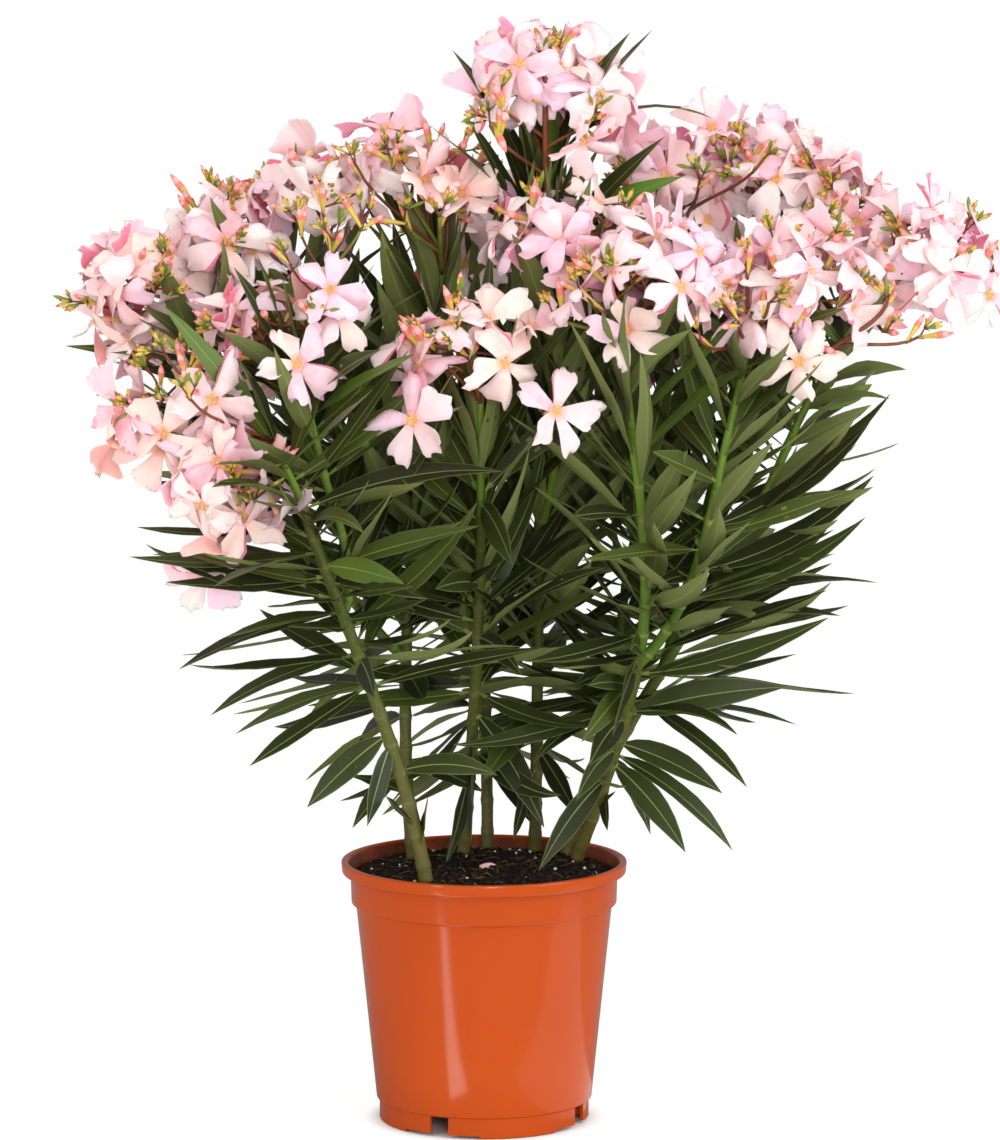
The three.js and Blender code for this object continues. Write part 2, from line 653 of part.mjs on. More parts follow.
function startMass(name, line, parent, seed) {
  const radiusAt = (t) => THREE.MathUtils.lerp(TWIG_RADIUS, TWIG_TIP_RADIUS, t);
  const twig = taperedTube(line, radiusAt, TWIG_STATIONS, TWIG_SIDES);
  const mass = { name, line, parent, random: seeded(seed), pieces: [twig] };
  keep(twig, mass, "twig");
  masses.push(mass);
  return mass;
}

TOPS.forEach((top, i) => {
  const limb = limbs.get(top.limb);
  const along = limb.line.getTangent(1);
  const start = limb.line.getPoint(1);
  const hub = vec(top.hub);
  const line = lineOf(start, hub, along.toArray(), hub.clone().sub(start).toArray());
  const mass = startMass(top.name, line, limb, TOP_SEED + TOP_SEED_STEP * i);
  mass.hub = hub;
  mass.clusters = top.clusters;
});

SIDE_SHOOTS.forEach((shoot, i) => {
  const limb = limbs.get(shoot.limb);
  const out = new THREE.Vector3(Math.sin(rad(shoot.way)), -Math.cos(rad(shoot.way)), 0);
  const start = limb.line.getPointAt(shoot.at);
  const endShare = Math.min(0.98, shoot.at + shoot.length / limb.length);
  const end = limb.line.getPointAt(endShare).addScaledVector(out, SIDE_TWIG_OFFSET);
  const arrive = limb.line.getTangentAt(Math.min(0.98, shoot.at + 0.3));
  const line = lineOf(start, end, out.clone().add(UP).toArray(), arrive.toArray());
  startMass(shoot.name, line, limb, SHOOT_SEED + SHOOT_SEED_STEP * i);
});

// The blossom goes first, then the leaves of the tops, then those of the side shoots.
for (const mass of masses.filter((m) => m.clusters)) {
  for (const cluster of mass.clusters) {
    const middle = vec(cluster.at);
    const stalk = makeStalk(mass.line.getPoint(0.97), middle, STALK_RADIUS, STALK_TIP_RADIUS);
    mass.pieces.push(keep(stalk, mass, "twig"));
    for (const [i, b] of blossomsOf(cluster, mass.hub, mass.random).entries()) {
      if (i % BLOSSOM_SHARE) continue;
      const carrier = mass.hub.clone().lerp(middle, b.stalkFrom);
      const whole = makeBlossom(b.at, b.facing, b.spin, b.size, carrier);
      const stalkTop = carrier.clone().lerp(b.at, 0.25);
      const head = makeBlossom(b.at, b.facing, b.spin, b.size, stalkTop);
      if (isClear(whole, mass) && !touchesAny(head, ofItself(mass))) {
        mass.pieces.push(whole);
        keep(whole, mass, "blossom");
      }
    }
  }
}

for (const mass of masses)
  for (const leaf of leavesAlong(mass.line, mass.random)) {
    const solid = tryLeaf(leaf, mass);
    if (solid) mass.pieces.push(keep(solid, mass, "leaf"));
  }

// ---------------------------------------------------------------- the scene graph
const standard = (color, roughness) => new THREE.MeshStandardMaterial({ color, roughness, metalness: 0 });
const MATERIALS = {
  pot: standard(0xc85a2a, 0.32),
  compost: standard(0x2a201a, 0.95),
  cane: standard(0x5c6b34, 0.6),
  top: standard(0xe9b7bd, 0.6),
  leaves: standard(0x40502a, 0.5),
};

const oleander = new THREE.Group();
oleander.name = "potted_oleander";
function addMesh(group, name, solid, material) {
  const mesh = new THREE.Mesh(geometryOf(solid), material);
  mesh.name = name;
  group.add(mesh);
}

addMesh(oleander, "pot", pot, MATERIALS.pot);
addMesh(oleander, "compost", compost, MATERIALS.compost);

const limbGroup = new THREE.Group();
for (const limb of limbs.values()) addMesh(limbGroup, limb.name, limb.solid, MATERIALS.cane);

const massGroup = new THREE.Group();
for (const mass of masses) {
  const whole = joined(mass.pieces).subtract(mass.parent.shell);
  addMesh(massGroup, mass.name, largestBody(whole), mass.clusters ? MATERIALS.top : MATERIALS.leaves);
}
oleander.add(limbGroup, massGroup);

export default oleander;
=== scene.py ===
# A pink oleander in its orange nursery pot, with +Z up and the front of the plant towards -Y.
# Sizes are in millimetres here, and become metres when a mesh is made.
import math

import bmesh
import bpy
import numpy as np
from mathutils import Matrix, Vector, noise


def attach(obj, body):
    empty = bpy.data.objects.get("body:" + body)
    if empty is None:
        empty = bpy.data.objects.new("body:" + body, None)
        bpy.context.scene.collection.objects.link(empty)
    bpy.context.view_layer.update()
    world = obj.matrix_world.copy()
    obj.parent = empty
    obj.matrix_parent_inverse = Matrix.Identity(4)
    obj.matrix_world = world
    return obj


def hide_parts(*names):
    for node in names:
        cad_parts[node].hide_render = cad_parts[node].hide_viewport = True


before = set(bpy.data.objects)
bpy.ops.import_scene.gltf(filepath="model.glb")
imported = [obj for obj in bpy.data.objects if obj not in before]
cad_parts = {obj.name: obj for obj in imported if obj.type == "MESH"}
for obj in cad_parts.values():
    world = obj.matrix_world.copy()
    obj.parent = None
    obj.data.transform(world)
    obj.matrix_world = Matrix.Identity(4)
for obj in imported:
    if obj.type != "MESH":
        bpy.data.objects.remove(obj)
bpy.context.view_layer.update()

# ------------------------------------------------------------------ studio
# A plain white floor under an even white dome, in a darker room that shiny surfaces pick up. Broad
# softboxes stand at the right, above and at the front, a narrow one lights the left edges, and two
# low lights lie on the floor beside the pot. Lengths in this section are in metres.
FLOOR_SIDE = 120.0
FLOOR_DROP = 0.0003  # how far the floor lies under the pot's feet
FLOOR_TONE = 0.97
FLOOR_ROUGHNESS = 0.9
FLOOR_WHITE = 0.86  # how far the floor is burnt out to white
FLOOR_GLOW = 1.05  # of the burnt-out part
POT_SHADOW = (0.067, 0.082)  # from the pot's axis: no burning out inside, all of it outside
DOME_STRENGTH = 0.85
ROOM_IN_GLOSS = 0.30  # how bright the dome and the floor look in shiny surfaces
CAMERA_PLACE = (0.0106, -4.0, 0.920)
CAMERA_PITCH = 7.854  # degrees below level
CAMERA_LENS = 193.1

scene = bpy.context.scene
scene.view_settings.view_transform = "Standard"


def paint(red, green, blue):
    """A paint chart colour, 0 to 255 a channel, as the linear values that shaders take."""
    def linear(channel):
        share = channel / 255
        return share / 12.92 if share <= 0.04045 else ((share + 0.055) / 1.055) ** 2.4
    return (linear(red), linear(green), linear(blue), 1.0)


world = bpy.data.worlds.new("white_dome")
world.use_nodes = True
sky_nodes, sky_links = world.node_tree.nodes, world.node_tree.links
sky_nodes["Background"].inputs["Color"].default_value = (1, 1, 1, 1)
sky_path, sky_level = sky_nodes.new("ShaderNodeLightPath"), sky_nodes.new("ShaderNodeMapRange")
sky_level.inputs["To Min"].default_value = DOME_STRENGTH
sky_level.inputs["To Max"].default_value = ROOM_IN_GLOSS
sky_links.new(sky_path.outputs["Is Glossy Ray"], sky_level.inputs["Value"])
sky_links.new(sky_level.outputs["Result"], sky_nodes["Background"].inputs["Strength"])
scene.world = world

floor_mesh = bpy.data.meshes.new("studio_floor")
half_side = FLOOR_SIDE / 2
corners = [(-1, -1), (1, -1), (1, 1), (-1, 1)]
floor_points = [(x * half_side, y * half_side, -FLOOR_DROP) for x, y in corners]
floor_mesh.from_pydata(floor_points, [], [(0, 1, 2, 3)])
floor = bpy.data.objects.new("studio_floor", floor_mesh)
scene.collection.objects.link(floor)

floor_paint = bpy.data.materials.new("floor_paint")
floor_paint.use_nodes = True
floor_nodes, floor_links = floor_paint.node_tree.nodes, floor_paint.node_tree.links
floor_shader = floor_nodes["Principled BSDF"]
floor_shader.inputs["Roughness"].default_value = FLOOR_ROUGHNESS
floor_shader.inputs["Specular IOR Level"].default_value = 0.0
floor_path, floor_tone = floor_nodes.new("ShaderNodeLightPath"), floor_nodes.new("ShaderNodeMix")
floor_tone.data_type = "RGBA"
floor_tone.inputs["A"].default_value = (FLOOR_TONE, FLOOR_TONE, FLOOR_TONE, 1)
floor_tone.inputs["B"].default_value = (ROOM_IN_GLOSS, ROOM_IN_GLOSS, ROOM_IN_GLOSS, 1)
burnt_out, floor_share = floor_nodes.new("ShaderNodeEmission"), floor_nodes.new("ShaderNodeMath")
burnt_out.inputs["Strength"].default_value = FLOOR_GLOW
floor_share.operation = "MULTIPLY"
floor_share.inputs[1].default_value = FLOOR_WHITE
floor_blend = floor_nodes.new("ShaderNodeMixShader")
floor_place, from_axis = floor_nodes.new("ShaderNodeTexCoord"), floor_nodes.new("ShaderNodeVectorMath")
from_axis.operation = "LENGTH"
clear_of_pot, floor_reach = floor_nodes.new("ShaderNodeMapRange"), floor_nodes.new("ShaderNodeMath")
clear_of_pot.interpolation_type = "SMOOTHSTEP"
clear_of_pot.inputs["From Min"].default_value = POT_SHADOW[0]
clear_of_pot.inputs["From Max"].default_value = POT_SHADOW[1]
floor_reach.operation = "MULTIPLY"
floor_links.new(floor_place.outputs["Object"], from_axis.inputs["Vector"])
floor_links.new(from_axis.outputs["Value"], clear_of_pot.inputs["Value"])
floor_links.new(clear_of_pot.outputs["Result"], floor_reach.inputs[0])
floor_links.new(floor_share.outputs["Value"], floor_reach.inputs[1])
floor_links.new(floor_path.outputs["Is Glossy Ray"], floor_tone.inputs["Factor"])
floor_links.new(floor_tone.outputs["Result"], floor_shader.inputs["Base Color"])
floor_links.new(floor_path.outputs["Is Camera Ray"], floor_share.inputs[0])
floor_links.new(floor_reach.outputs["Value"], floor_blend.inputs["Fac"])
floor_links.new(floor_shader.outputs["BSDF"], floor_blend.inputs[1])
floor_links.new(burnt_out.outputs["Emission"], floor_blend.inputs[2])
floor_links.new(floor_blend.outputs["Shader"], floor_nodes["Material Output"].inputs["Surface"])
floor_mesh.materials.append(floor_paint)


def area_light(name, place, rotation, width, height, power):
    light = bpy.data.lights.new(name, "AREA")
    light.shape = "RECTANGLE"
    light.size = width
    light.size_y = height
    light.energy = power
    lamp = bpy.data.objects.new(name, light)
    lamp.location = place
    lamp.rotation_euler = rotation
    scene.collection.objects.link(lamp)
    return lamp


def softbox(name, place, aim, width, height, power):
    """A softbox that faces the point it aims at."""
    rotation = (Vector(aim) - Vector(place)).to_track_quat("-Z", "Y").to_euler()
    area_light(name, place, rotation, width, height, power)


def floor_light(name, place, length, width, turn, power):
    """A light that lies on the floor facing up, seen only in what it lights."""
    lamp = area_light(name, place, (math.pi, 0, math.radians(turn)), length, width, power)
    lamp.visible_camera = False


softbox("left_strip", (-1.30, -1.75, 0.55), (0, 0, 0.35), 0.22, 1.7, 9)
softbox("right_bank", (2.3, -1.5, 1.5), (0.05, 0, 0.35), 1.8, 1.8, 37)
softbox("top_bank", (-0.3, -0.9, 2.6), (0, 0, 0.4), 1.8, 1.8, 8)
softbox("front_fill", (0.5, -4.2, 1.15), (0, 0, 0.40), 1.0, 1.0, 44)
# The slim strip shows as the upright streak on the glossy pot, the panel pales its right side.
floor_light("floor_strip", (-0.150, -0.240, 0.003), 0.34, 0.030, 48.4, 0.11)
floor_light("floor_panel", (0.29, -0.07, 0.003), 0.44, 0.20, -10, 0.15)

camera_data = bpy.data.cameras.new("front_camera")
camera_data.sensor_width = 36
camera_data.lens = CAMERA_LENS
camera_data.clip_end = 200
camera = bpy.data.objects.new("front_camera", camera_data)
camera.location = CAMERA_PLACE
camera.rotation_euler = (math.radians(90 - CAMERA_PITCH), 0, 0)
scene.collection.objects.link(camera)
scene.camera = camera

# ------------------------------------------------------------------ pot
# A thin-walled nursery pot, injection moulded in glossy orange polypropylene: a rolled lip, a
# plain upper band, a tapering wall and a foot band with four drain slots between the four feet.
MM = 0.001
POT_HEIGHT = 174
LIP_RADIUS = 95
LIP_HEIGHT = 8
BAND_RADIUS = 88.75
BAND_BOTTOM = 146
WALL_TOP_RADIUS = 85.15
WALL_FOOT_RADIUS = 71.65
FOOT_BAND_TOP = 14.5
FOOT_RADIUS = 69.8
WALL = 2.2
FLOOR = 2.5
FOOT_RELIEF = 2  # height of the gap between two feet
FEET = 4
FOOT_TURN = 20  # degrees from the front to the first foot
FOOT_GAP = 45  # degrees between two feet
SLOT_WIDTH = 13
SLOT_HEIGHT = 13.5
CENTRE_BOSS = 20
RIB_THICKNESS = 1.6
RIB_FOOT = 4  # height of the ribs' lower edge
RIB_TURN = 0.28  # how far the first rib is past a foot's middle, as a share of the way to the next
POT_SIDES = 176
POT_SHARP = 35  # degrees: an edge of the pot that turns more than this is crisp


class Skin:
    """Points and faces gathered in millimetres, which become one mesh in metres."""

    def __init__(self):
        self.points, self.quads, self.tris = [], [], []
        self.quad_slots, self.tri_slots, self.count = [], [], 0

    def add(self, points, quads=None, tris=None, slot=0):
        """slot is one material number, or one for each quad and then one for the triangles."""
        points = np.asarray(points, float).reshape(-1, 3)
        if quads is not None and len(quads):
            quads = np.asarray(quads, int).reshape(-1, 4)
            self.quads.append(quads + self.count)
            quad_slot = slot if np.ndim(slot) == 0 else slot[:len(quads)]
            self.quad_slots.append(np.broadcast_to(np.asarray(quad_slot), len(quads)))
        if tris is not None and len(tris):
            tris = np.asarray(tris, int).reshape(-1, 3)
            self.tris.append(tris + self.count)
            tri_slot = slot if np.ndim(slot) == 0 else slot[-1]
            self.tri_slots.append(np.full(len(tris), tri_slot))
        self.points.append(points)
        self.count += len(points)

    def mesh(self, name, materials, sharp_over=None):
        points = np.concatenate(self.points) * MM
        quads = np.concatenate(self.quads) if self.quads else np.zeros((0, 4), int)
        tris = np.concatenate(self.tris) if self.tris else np.zeros((0, 3), int)
        slots = np.concatenate(self.quad_slots + self.tri_slots)
        mesh = bpy.data.meshes.new(name)
        mesh.vertices.add(len(points))
        mesh.vertices.foreach_set("co", points.astype(np.float32).ravel())
        corner_points = np.concatenate([quads.ravel(), tris.ravel()])
        mesh.loops.add(len(corner_points))
        mesh.loops.foreach_set("vertex_index", corner_points.astype(np.int32))
        mesh.polygons.add(len(slots))
        starts = np.concatenate([np.arange(len(quads)) * 4, len(quads) * 4 + np.arange(len(tris)) * 3])
        mesh.polygons.foreach_set("loop_start", starts.astype(np.int32))
        mesh.polygons.foreach_set("material_index", slots.astype(np.int32))
        mesh.polygons.foreach_set("use_smooth", np.ones(len(slots), bool))
        mesh.update(calc_edges=True)
        mesh.validate()
        if sharp_over:
            mesh.set_sharp_from_angle(angle=math.radians(sharp_over))
        for material in materials:
            mesh.materials.append(material)
        return mesh

    def piece(self, name, materials, sharp_over=None):
        """An object of that name, made of this skin."""
        return new_piece(name, self.mesh(name, materials, sharp_over))


def new_piece(name, mesh):
    made = bpy.data.objects.new(name, mesh)
    scene.collection.objects.link(made)
    return made


def group_socket(group, name, kind, value=None, out=False):
    way = "OUTPUT" if out else "INPUT"
    socket = group.interface.new_socket(name, in_out=way, socket_type="NodeSocket" + kind)
    if value is not None:
        socket.default_value = value


def surface_group():
    """Broad patches between two colours, and a fine grain that moves roughness and height."""
    group = bpy.data.node_groups.new("surface_variation", "ShaderNodeTree")
    group_socket(group, "Light Colour", "Color", (0.8, 0.8, 0.8, 1))
    group_socket(group, "Dark Colour", "Color", (0.5, 0.5, 0.5, 1))
    group_socket(group, "Patch Scale", "Float", 30.0)
    group_socket(group, "Grain Scale", "Float", 900.0)
    group_socket(group, "Roughness Low", "Float", 0.4)
    group_socket(group, "Roughness High", "Float", 0.6)
    group_socket(group, "Colour", "Color", out=True)
    group_socket(group, "Roughness", "Float", out=True)
    group_socket(group, "Grain", "Float", out=True)
    nodes, links = group.nodes, group.links
    given, made = nodes.new("NodeGroupInput"), nodes.new("NodeGroupOutput")
    place = nodes.new("ShaderNodeTexCoord")
    patches, grain = nodes.new("ShaderNodeTexNoise"), nodes.new("ShaderNodeTexNoise")
    patches.inputs["Detail"].default_value = 4
    grain.inputs["Detail"].default_value = 3
    for texture, scale in ((patches, "Patch Scale"), (grain, "Grain Scale")):
        links.new(place.outputs["Object"], texture.inputs["Vector"])
        links.new(given.outputs[scale], texture.inputs["Scale"])
    spread = nodes.new("ShaderNodeMapRange")
    spread.inputs["From Min"].default_value = 0.35
    spread.inputs["From Max"].default_value = 0.65
    links.new(patches.outputs["Fac"], spread.inputs["Value"])
    blend = nodes.new("ShaderNodeMix")
    blend.data_type = "RGBA"
    links.new(spread.outputs["Result"], blend.inputs["Factor"])
    links.new(given.outputs["Dark Colour"], blend.inputs["A"])
    links.new(given.outputs["Light Colour"], blend.inputs["B"])
    rough = nodes.new("ShaderNodeMapRange")
    rough.inputs["From Min"].default_value = 0.3
    rough.inputs["From Max"].default_value = 0.7
    links.new(grain.outputs["Fac"], rough.inputs["Value"])
    links.new(given.outputs["Roughness Low"], rough.inputs["To Min"])
    links.new(given.outputs["Roughness High"], rough.inputs["To Max"])
    links.new(blend.outputs["Result"], made.inputs["Colour"])
    links.new(rough.outputs["Result"], made.inputs["Roughness"])
    links.new(grain.outputs["Fac"], made.inputs["Grain"])
    return group


SURFACE = surface_group()


def finish_material(name, light, dark=None, patch=30, grain=900, rough=(0.4, 0.6), bump=0.1, depth=0.2,
                    specular=0.5):
    """A finish from the surface group. With no dark colour its base colour is plain."""
    material = bpy.data.materials.new(name)
    material.use_nodes = True
    nodes, links = material.node_tree.nodes, material.node_tree.links
    shader = nodes["Principled BSDF"]
    surface = nodes.new("ShaderNodeGroup")
    surface.node_tree = SURFACE
    surface.inputs["Patch Scale"].default_value = patch
    surface.inputs["Grain Scale"].default_value = grain
    surface.inputs["Roughness Low"].default_value = rough[0]
    surface.inputs["Roughness High"].default_value = rough[1]
    if dark:
        surface.inputs["Light Colour"].default_value = light
        surface.inputs["Dark Colour"].default_value = dark
        links.new(surface.outputs["Colour"], shader.inputs["Base Color"])
    else:
        shader.inputs["Base Color"].default_value = light
    links.new(surface.outputs["Roughness"], shader.inputs["Roughness"])
    relief = nodes.new("ShaderNodeBump")
    relief.inputs["Strength"].default_value = bump
    relief.inputs["Distance"].default_value = depth * MM
    links.new(surface.outputs["Grain"], relief.inputs["Height"])
    links.new(relief.outputs["Normal"], shader.inputs["Normal"])
    shader.inputs["Specular IOR Level"].default_value = specular
    return material


def rounded(corner, before, after, radius, steps=4):
    """A corner of a profile, turned into an arc of short chords."""
    corner, before, after = (np.array(p, float) for p in (corner, before, after))
    start = corner + (before - corner) / np.linalg.norm(before - corner) * radius
    end = corner + (after - corner) / np.linalg.norm(after - corner) * radius
    shares = np.linspace(0, 1, steps + 1)[:, None]
    return (1 - shares) ** 2 * start + 2 * (1 - shares) * shares * corner + shares ** 2 * end


def lathe_faces(rings, sides):
    r, s = np.meshgrid(np.arange(rings - 1), np.arange(sides), indexing="ij")
    after = (s + 1) % sides
    return np.stack([r * sides + s, r * sides + after, (r + 1) * sides + after, (r + 1) * sides + s], -1)


def fan_faces(middle, first, sides, flipped=False):
    """Triangles between a middle point and the ring of points that starts at first."""
    around = first + np.arange(sides)
    after = first + (np.arange(sides) + 1) % sides
    rim = (after, around) if flipped else (around, after)
    return np.stack([np.full(sides, middle), *rim], -1)


def pot_profile():
    """From the middle of the underside, round the outside and the lip, and down inside."""
    inner_top = BAND_RADIUS - WALL
    ceiling = FOOT_BAND_TOP - FLOOR
    corners = [
        (CENTRE_BOSS, 0, 0.5), (CENTRE_BOSS + 1, ceiling, 0.8), (FOOT_RADIUS - WALL, ceiling, 0.8),
        (FOOT_RADIUS - WALL, 0, 0.4), (FOOT_RADIUS, 0, 1.3), (FOOT_RADIUS, FOOT_BAND_TOP - 1, 0.5),
        (WALL_FOOT_RADIUS, FOOT_BAND_TOP, 0.6), (WALL_TOP_RADIUS, BAND_BOTTOM - 1, 0.6),
        (BAND_RADIUS - 0.6, BAND_BOTTOM, 0.9), (BAND_RADIUS, POT_HEIGHT - LIP_HEIGHT - 0.5, 1.2),
        (LIP_RADIUS - 0.8, POT_HEIGHT - LIP_HEIGHT, 1.4), (LIP_RADIUS, POT_HEIGHT, 1.6),
        (LIP_RADIUS - 4.4, POT_HEIGHT, 1.6), (inner_top, POT_HEIGHT - LIP_HEIGHT, 2.4),
        (inner_top - 0.6, BAND_BOTTOM + 2, 1.5), (WALL_TOP_RADIUS - WALL, BAND_BOTTOM - 2, 1.5),
        (WALL_FOOT_RADIUS - WALL, FOOT_BAND_TOP, 1.2),
    ]
    ends = [(0, 0), *[c[:2] for c in corners], (0, FOOT_BAND_TOP)]
    arcs = [rounded(c[:2], ends[i], ends[i + 2], c[2]) for i, c in enumerate(corners)]
    return np.concatenate(arcs)


def box_tool(size, centre, turn):
    """A block that the pot is cut with, turned about the pot's axis."""
    block = bmesh.new()
    bmesh.ops.create_cube(block, size=1)
    bmesh.ops.scale(block, vec=Vector(size) * MM, verts=block.verts)
    bmesh.ops.translate(block, vec=Vector(centre) * MM, verts=block.verts)
    mesh = bpy.data.meshes.new("pot_tool")
    block.to_mesh(mesh)
    block.free()
    tool = new_piece("pot_tool", mesh)
    tool.rotation_euler.z = turn
    return tool


profile = pot_profile()
turns = np.linspace(0, 2 * np.pi, POT_SIDES, endpoint=False)
rings = np.stack([profile[:, :1] * np.cos(turns), profile[:, :1] * np.sin(turns),
                  np.repeat(profile[:, 1:], POT_SIDES, axis=1)], -1)
pot_skin = Skin()
last_ring = (len(profile) - 1) * POT_SIDES
pot_points = np.concatenate([rings.reshape(-1, 3), [(0, 0, 0), (0, 0, FOOT_BAND_TOP)]])
low_cap = fan_faces(len(pot_points) - 2, 0, POT_SIDES, flipped=True)
high_cap = fan_faces(len(pot_points) - 1, last_ring, POT_SIDES)
pot_skin.add(pot_points, lathe_faces(len(profile), POT_SIDES), np.concatenate([low_cap, high_cap]))
pot_plastic = finish_material("orange_polypropylene", paint(178, 70, 14), paint(172, 65, 11), patch=9,
                              grain=90, rough=(0.12, 0.18), bump=0.03, depth=0.15, specular=0.4)
# a darker orange for the inside of the wall, which is painted shade
pot_inside_painted_shade = finish_material("stained_polypropylene", paint(132, 56, 24), paint(92, 40, 22), patch=60,
                                  grain=300, rough=(0.35, 0.55), bump=0.1, depth=0.2, specular=0.3)
pot = pot_skin.piece("nursery_pot", [])
tools = []
gap_width = 2 * FOOT_RADIUS * math.sin(math.radians(FOOT_GAP / 2))
for foot in range(FEET):
    between = math.radians(FOOT_TURN + 360 / FEET * (foot + 0.5) - 90)
    tools.append(box_tool((24, gap_width, 2 * FOOT_RELIEF), (FOOT_RADIUS - 3, 0, 0), between))
    tools.append(box_tool((12, SLOT_WIDTH, 2 * SLOT_HEIGHT), (FOOT_RADIUS - 1, 0, 0), between))
for tool in tools:
    cut = pot.modifiers.new("cut", "BOOLEAN")
    cut.operation = "DIFFERENCE"
    cut.object = tool
    cut.solver = "EXACT"
pot_mesh = bpy.data.meshes.new_from_object(pot.evaluated_get(bpy.context.evaluated_depsgraph_get()))
pot.modifiers.clear()
pot.data = pot_mesh
for tool in tools:
    bpy.data.objects.remove(tool)
pot_mesh.polygons.foreach_set("use_smooth", np.ones(len(pot_mesh.polygons), bool))
pot_mesh.set_sharp_from_angle(angle=math.radians(POT_SHARP))
pot_mesh.materials.clear()
pot_mesh.materials.append(pot_plastic)
pot_mesh.materials.append(pot_inside_painted_shade)
for face in pot_mesh.polygons:  # the inside of the wall is painted darker: painted shade
    looks_in = face.center.x * face.normal.x + face.center.y * face.normal.y < 0
    if looks_in and FOOT_BAND_TOP + 1 < face.center.z / MM < POT_HEIGHT - LIP_HEIGHT + 5:
        face.material_index = 1
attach(pot, "root")
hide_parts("pot")

# Eight thin ribs stiffen the floor from below, moulded with the pot. One shows in each slot.
rib_skin = Skin()
RIB_FACES = [(0, 1, 2, 3), (7, 6, 5, 4), (0, 4, 5, 1), (1, 5, 6, 2), (2, 6, 7, 3), (3, 7, 4, 0)]
for rib in range(2 * FEET):
    turn = math.radians(FOOT_TURN + 180 / FEET * (rib + RIB_TURN) - 90)
    way = np.array([math.cos(turn), math.sin(turn), 0])
    side = np.array([-way[1], way[0], 0]) * RIB_THICKNESS / 2
    low, high = np.array([0, 0, RIB_FOOT]), np.array([0, 0, FOOT_BAND_TOP - FLOOR + 0.5])
    near, far = way * (CENTRE_BOSS - 1), way * (FOOT_RADIUS - 1)
    base = [near - side, far - side, far + side, near + side]
    rib_skin.add([p + high for p in base] + [p + low for p in base], RIB_FACES)
ribs = rib_skin.piece("pot_floor_ribs", [pot_plastic], sharp_over=POT_SHARP)
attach(ribs, "root")
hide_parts("pot")

# ------------------------------------------------------------------ compost
# Dark peat compost heaped a little in the middle, with crumbs, bark fibres, white perlite and
# one fallen petal. It is loose, and only its top shows.
SOIL_EDGE = 165.5  # height of the compost at the wall
SOIL_CROWN = 5.5  # how much higher it stands in the middle
SOIL_GAP = 0.3  # between the compost and the solids beside it
SOIL_RADIUS = BAND_RADIUS - WALL - SOIL_GAP - 0.8
SOIL_LEVEL = 70  # radius from which the lumps level out towards the wall
COARSE_LUMPS = (0.055, 2.6)  # how close together, how high
FINE_LUMPS = (0.33, 0.9)
SOIL_RINGS = 46
SOIL_SIDES = 150
SCATTER_WIDTH = 0.97  # of the compost's radius
CRUMBS = 900
CRUMB_SIZES = (0.7, 2.6)
PERLITE = 46
PERLITE_SIZES = (0.6, 1.5)
FIBRES = 150
FIBRE_WIDTH = 0.95  # of the compost's radius
FIBRE_LENGTHS = (3, 15)
FIBRE_HALF_WIDTHS = (0.18, 0.5)
FIBRE_CURL = 0.6
FIBRE_STEPS = 5


def soil_top(radius):
    return SOIL_EDGE + SOIL_CROWN * (1 - (radius / SOIL_RADIUS) ** 2)


def soil_height(x, y):
    """The lumpy top of the compost."""
    radius = math.hypot(x, y)
    coarse = noise.fractal(Vector((x * COARSE_LUMPS[0], y * COARSE_LUMPS[0], 3.1)), 1.0, 2.0, 3)
    fine = noise.noise(Vector((x * FINE_LUMPS[0], y * FINE_LUMPS[0], 9.7)))
    level = 1 - max(0, (radius - SOIL_LEVEL) / (SOIL_RADIUS - SOIL_LEVEL))
    return soil_top(radius) + (COARSE_LUMPS[1] * coarse + FINE_LUMPS[1] * fine) * level


soil_skin = Skin()
soil_radii = SOIL_RADIUS * np.linspace(1 / SOIL_RINGS, 1, SOIL_RINGS)
turns = np.linspace(0, 2 * np.pi, SOIL_SIDES, endpoint=False)
soil_points = [(r * math.cos(a), r * math.sin(a), soil_height(r * math.cos(a), r * math.sin(a)))
               for r in soil_radii for a in turns]
for radius, height in (
        (SOIL_RADIUS + 0.5, SOIL_EDGE - 8),
        (WALL_TOP_RADIUS - WALL - 0.5, BAND_BOTTOM - 2),
        (WALL_FOOT_RADIUS - WALL - 0.5, FOOT_BAND_TOP + 0.5)):
    soil_points += [(radius * math.cos(a), radius * math.sin(a), height) for a in turns]
soil_rings = SOIL_RINGS + 3
soil_points += [(0, 0, soil_height(0, 0)), (0, 0, FOOT_BAND_TOP + 0.5)]
top_cap = fan_faces(len(soil_points) - 2, 0, SOIL_SIDES)
foot_cap = fan_faces(len(soil_points) - 1, (soil_rings - 1) * SOIL_SIDES, SOIL_SIDES, flipped=True)
soil_faces = lathe_faces(soil_rings, SOIL_SIDES)[..., ::-1]
soil_skin.add(soil_points, soil_faces, np.concatenate([top_cap, foot_cap]))
peat = finish_material("dark_peat", paint(44, 34, 27), paint(14, 11, 9), patch=240, grain=1500,
                       rough=(0.85, 1.0), bump=0.8, depth=0.9, specular=0.15)
soil = soil_skin.piece("compost_top", [peat])
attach(soil, "root")
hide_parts("compost")

lump = bmesh.new()
bmesh.ops.create_icosphere(lump, subdivisions=1, radius=1)
LUMP_POINTS = np.array([v.co[:] for v in lump.verts])
LUMP_TRIS = np.array([[v.index for v in f.verts] for f in lump.faces])
lump.free()


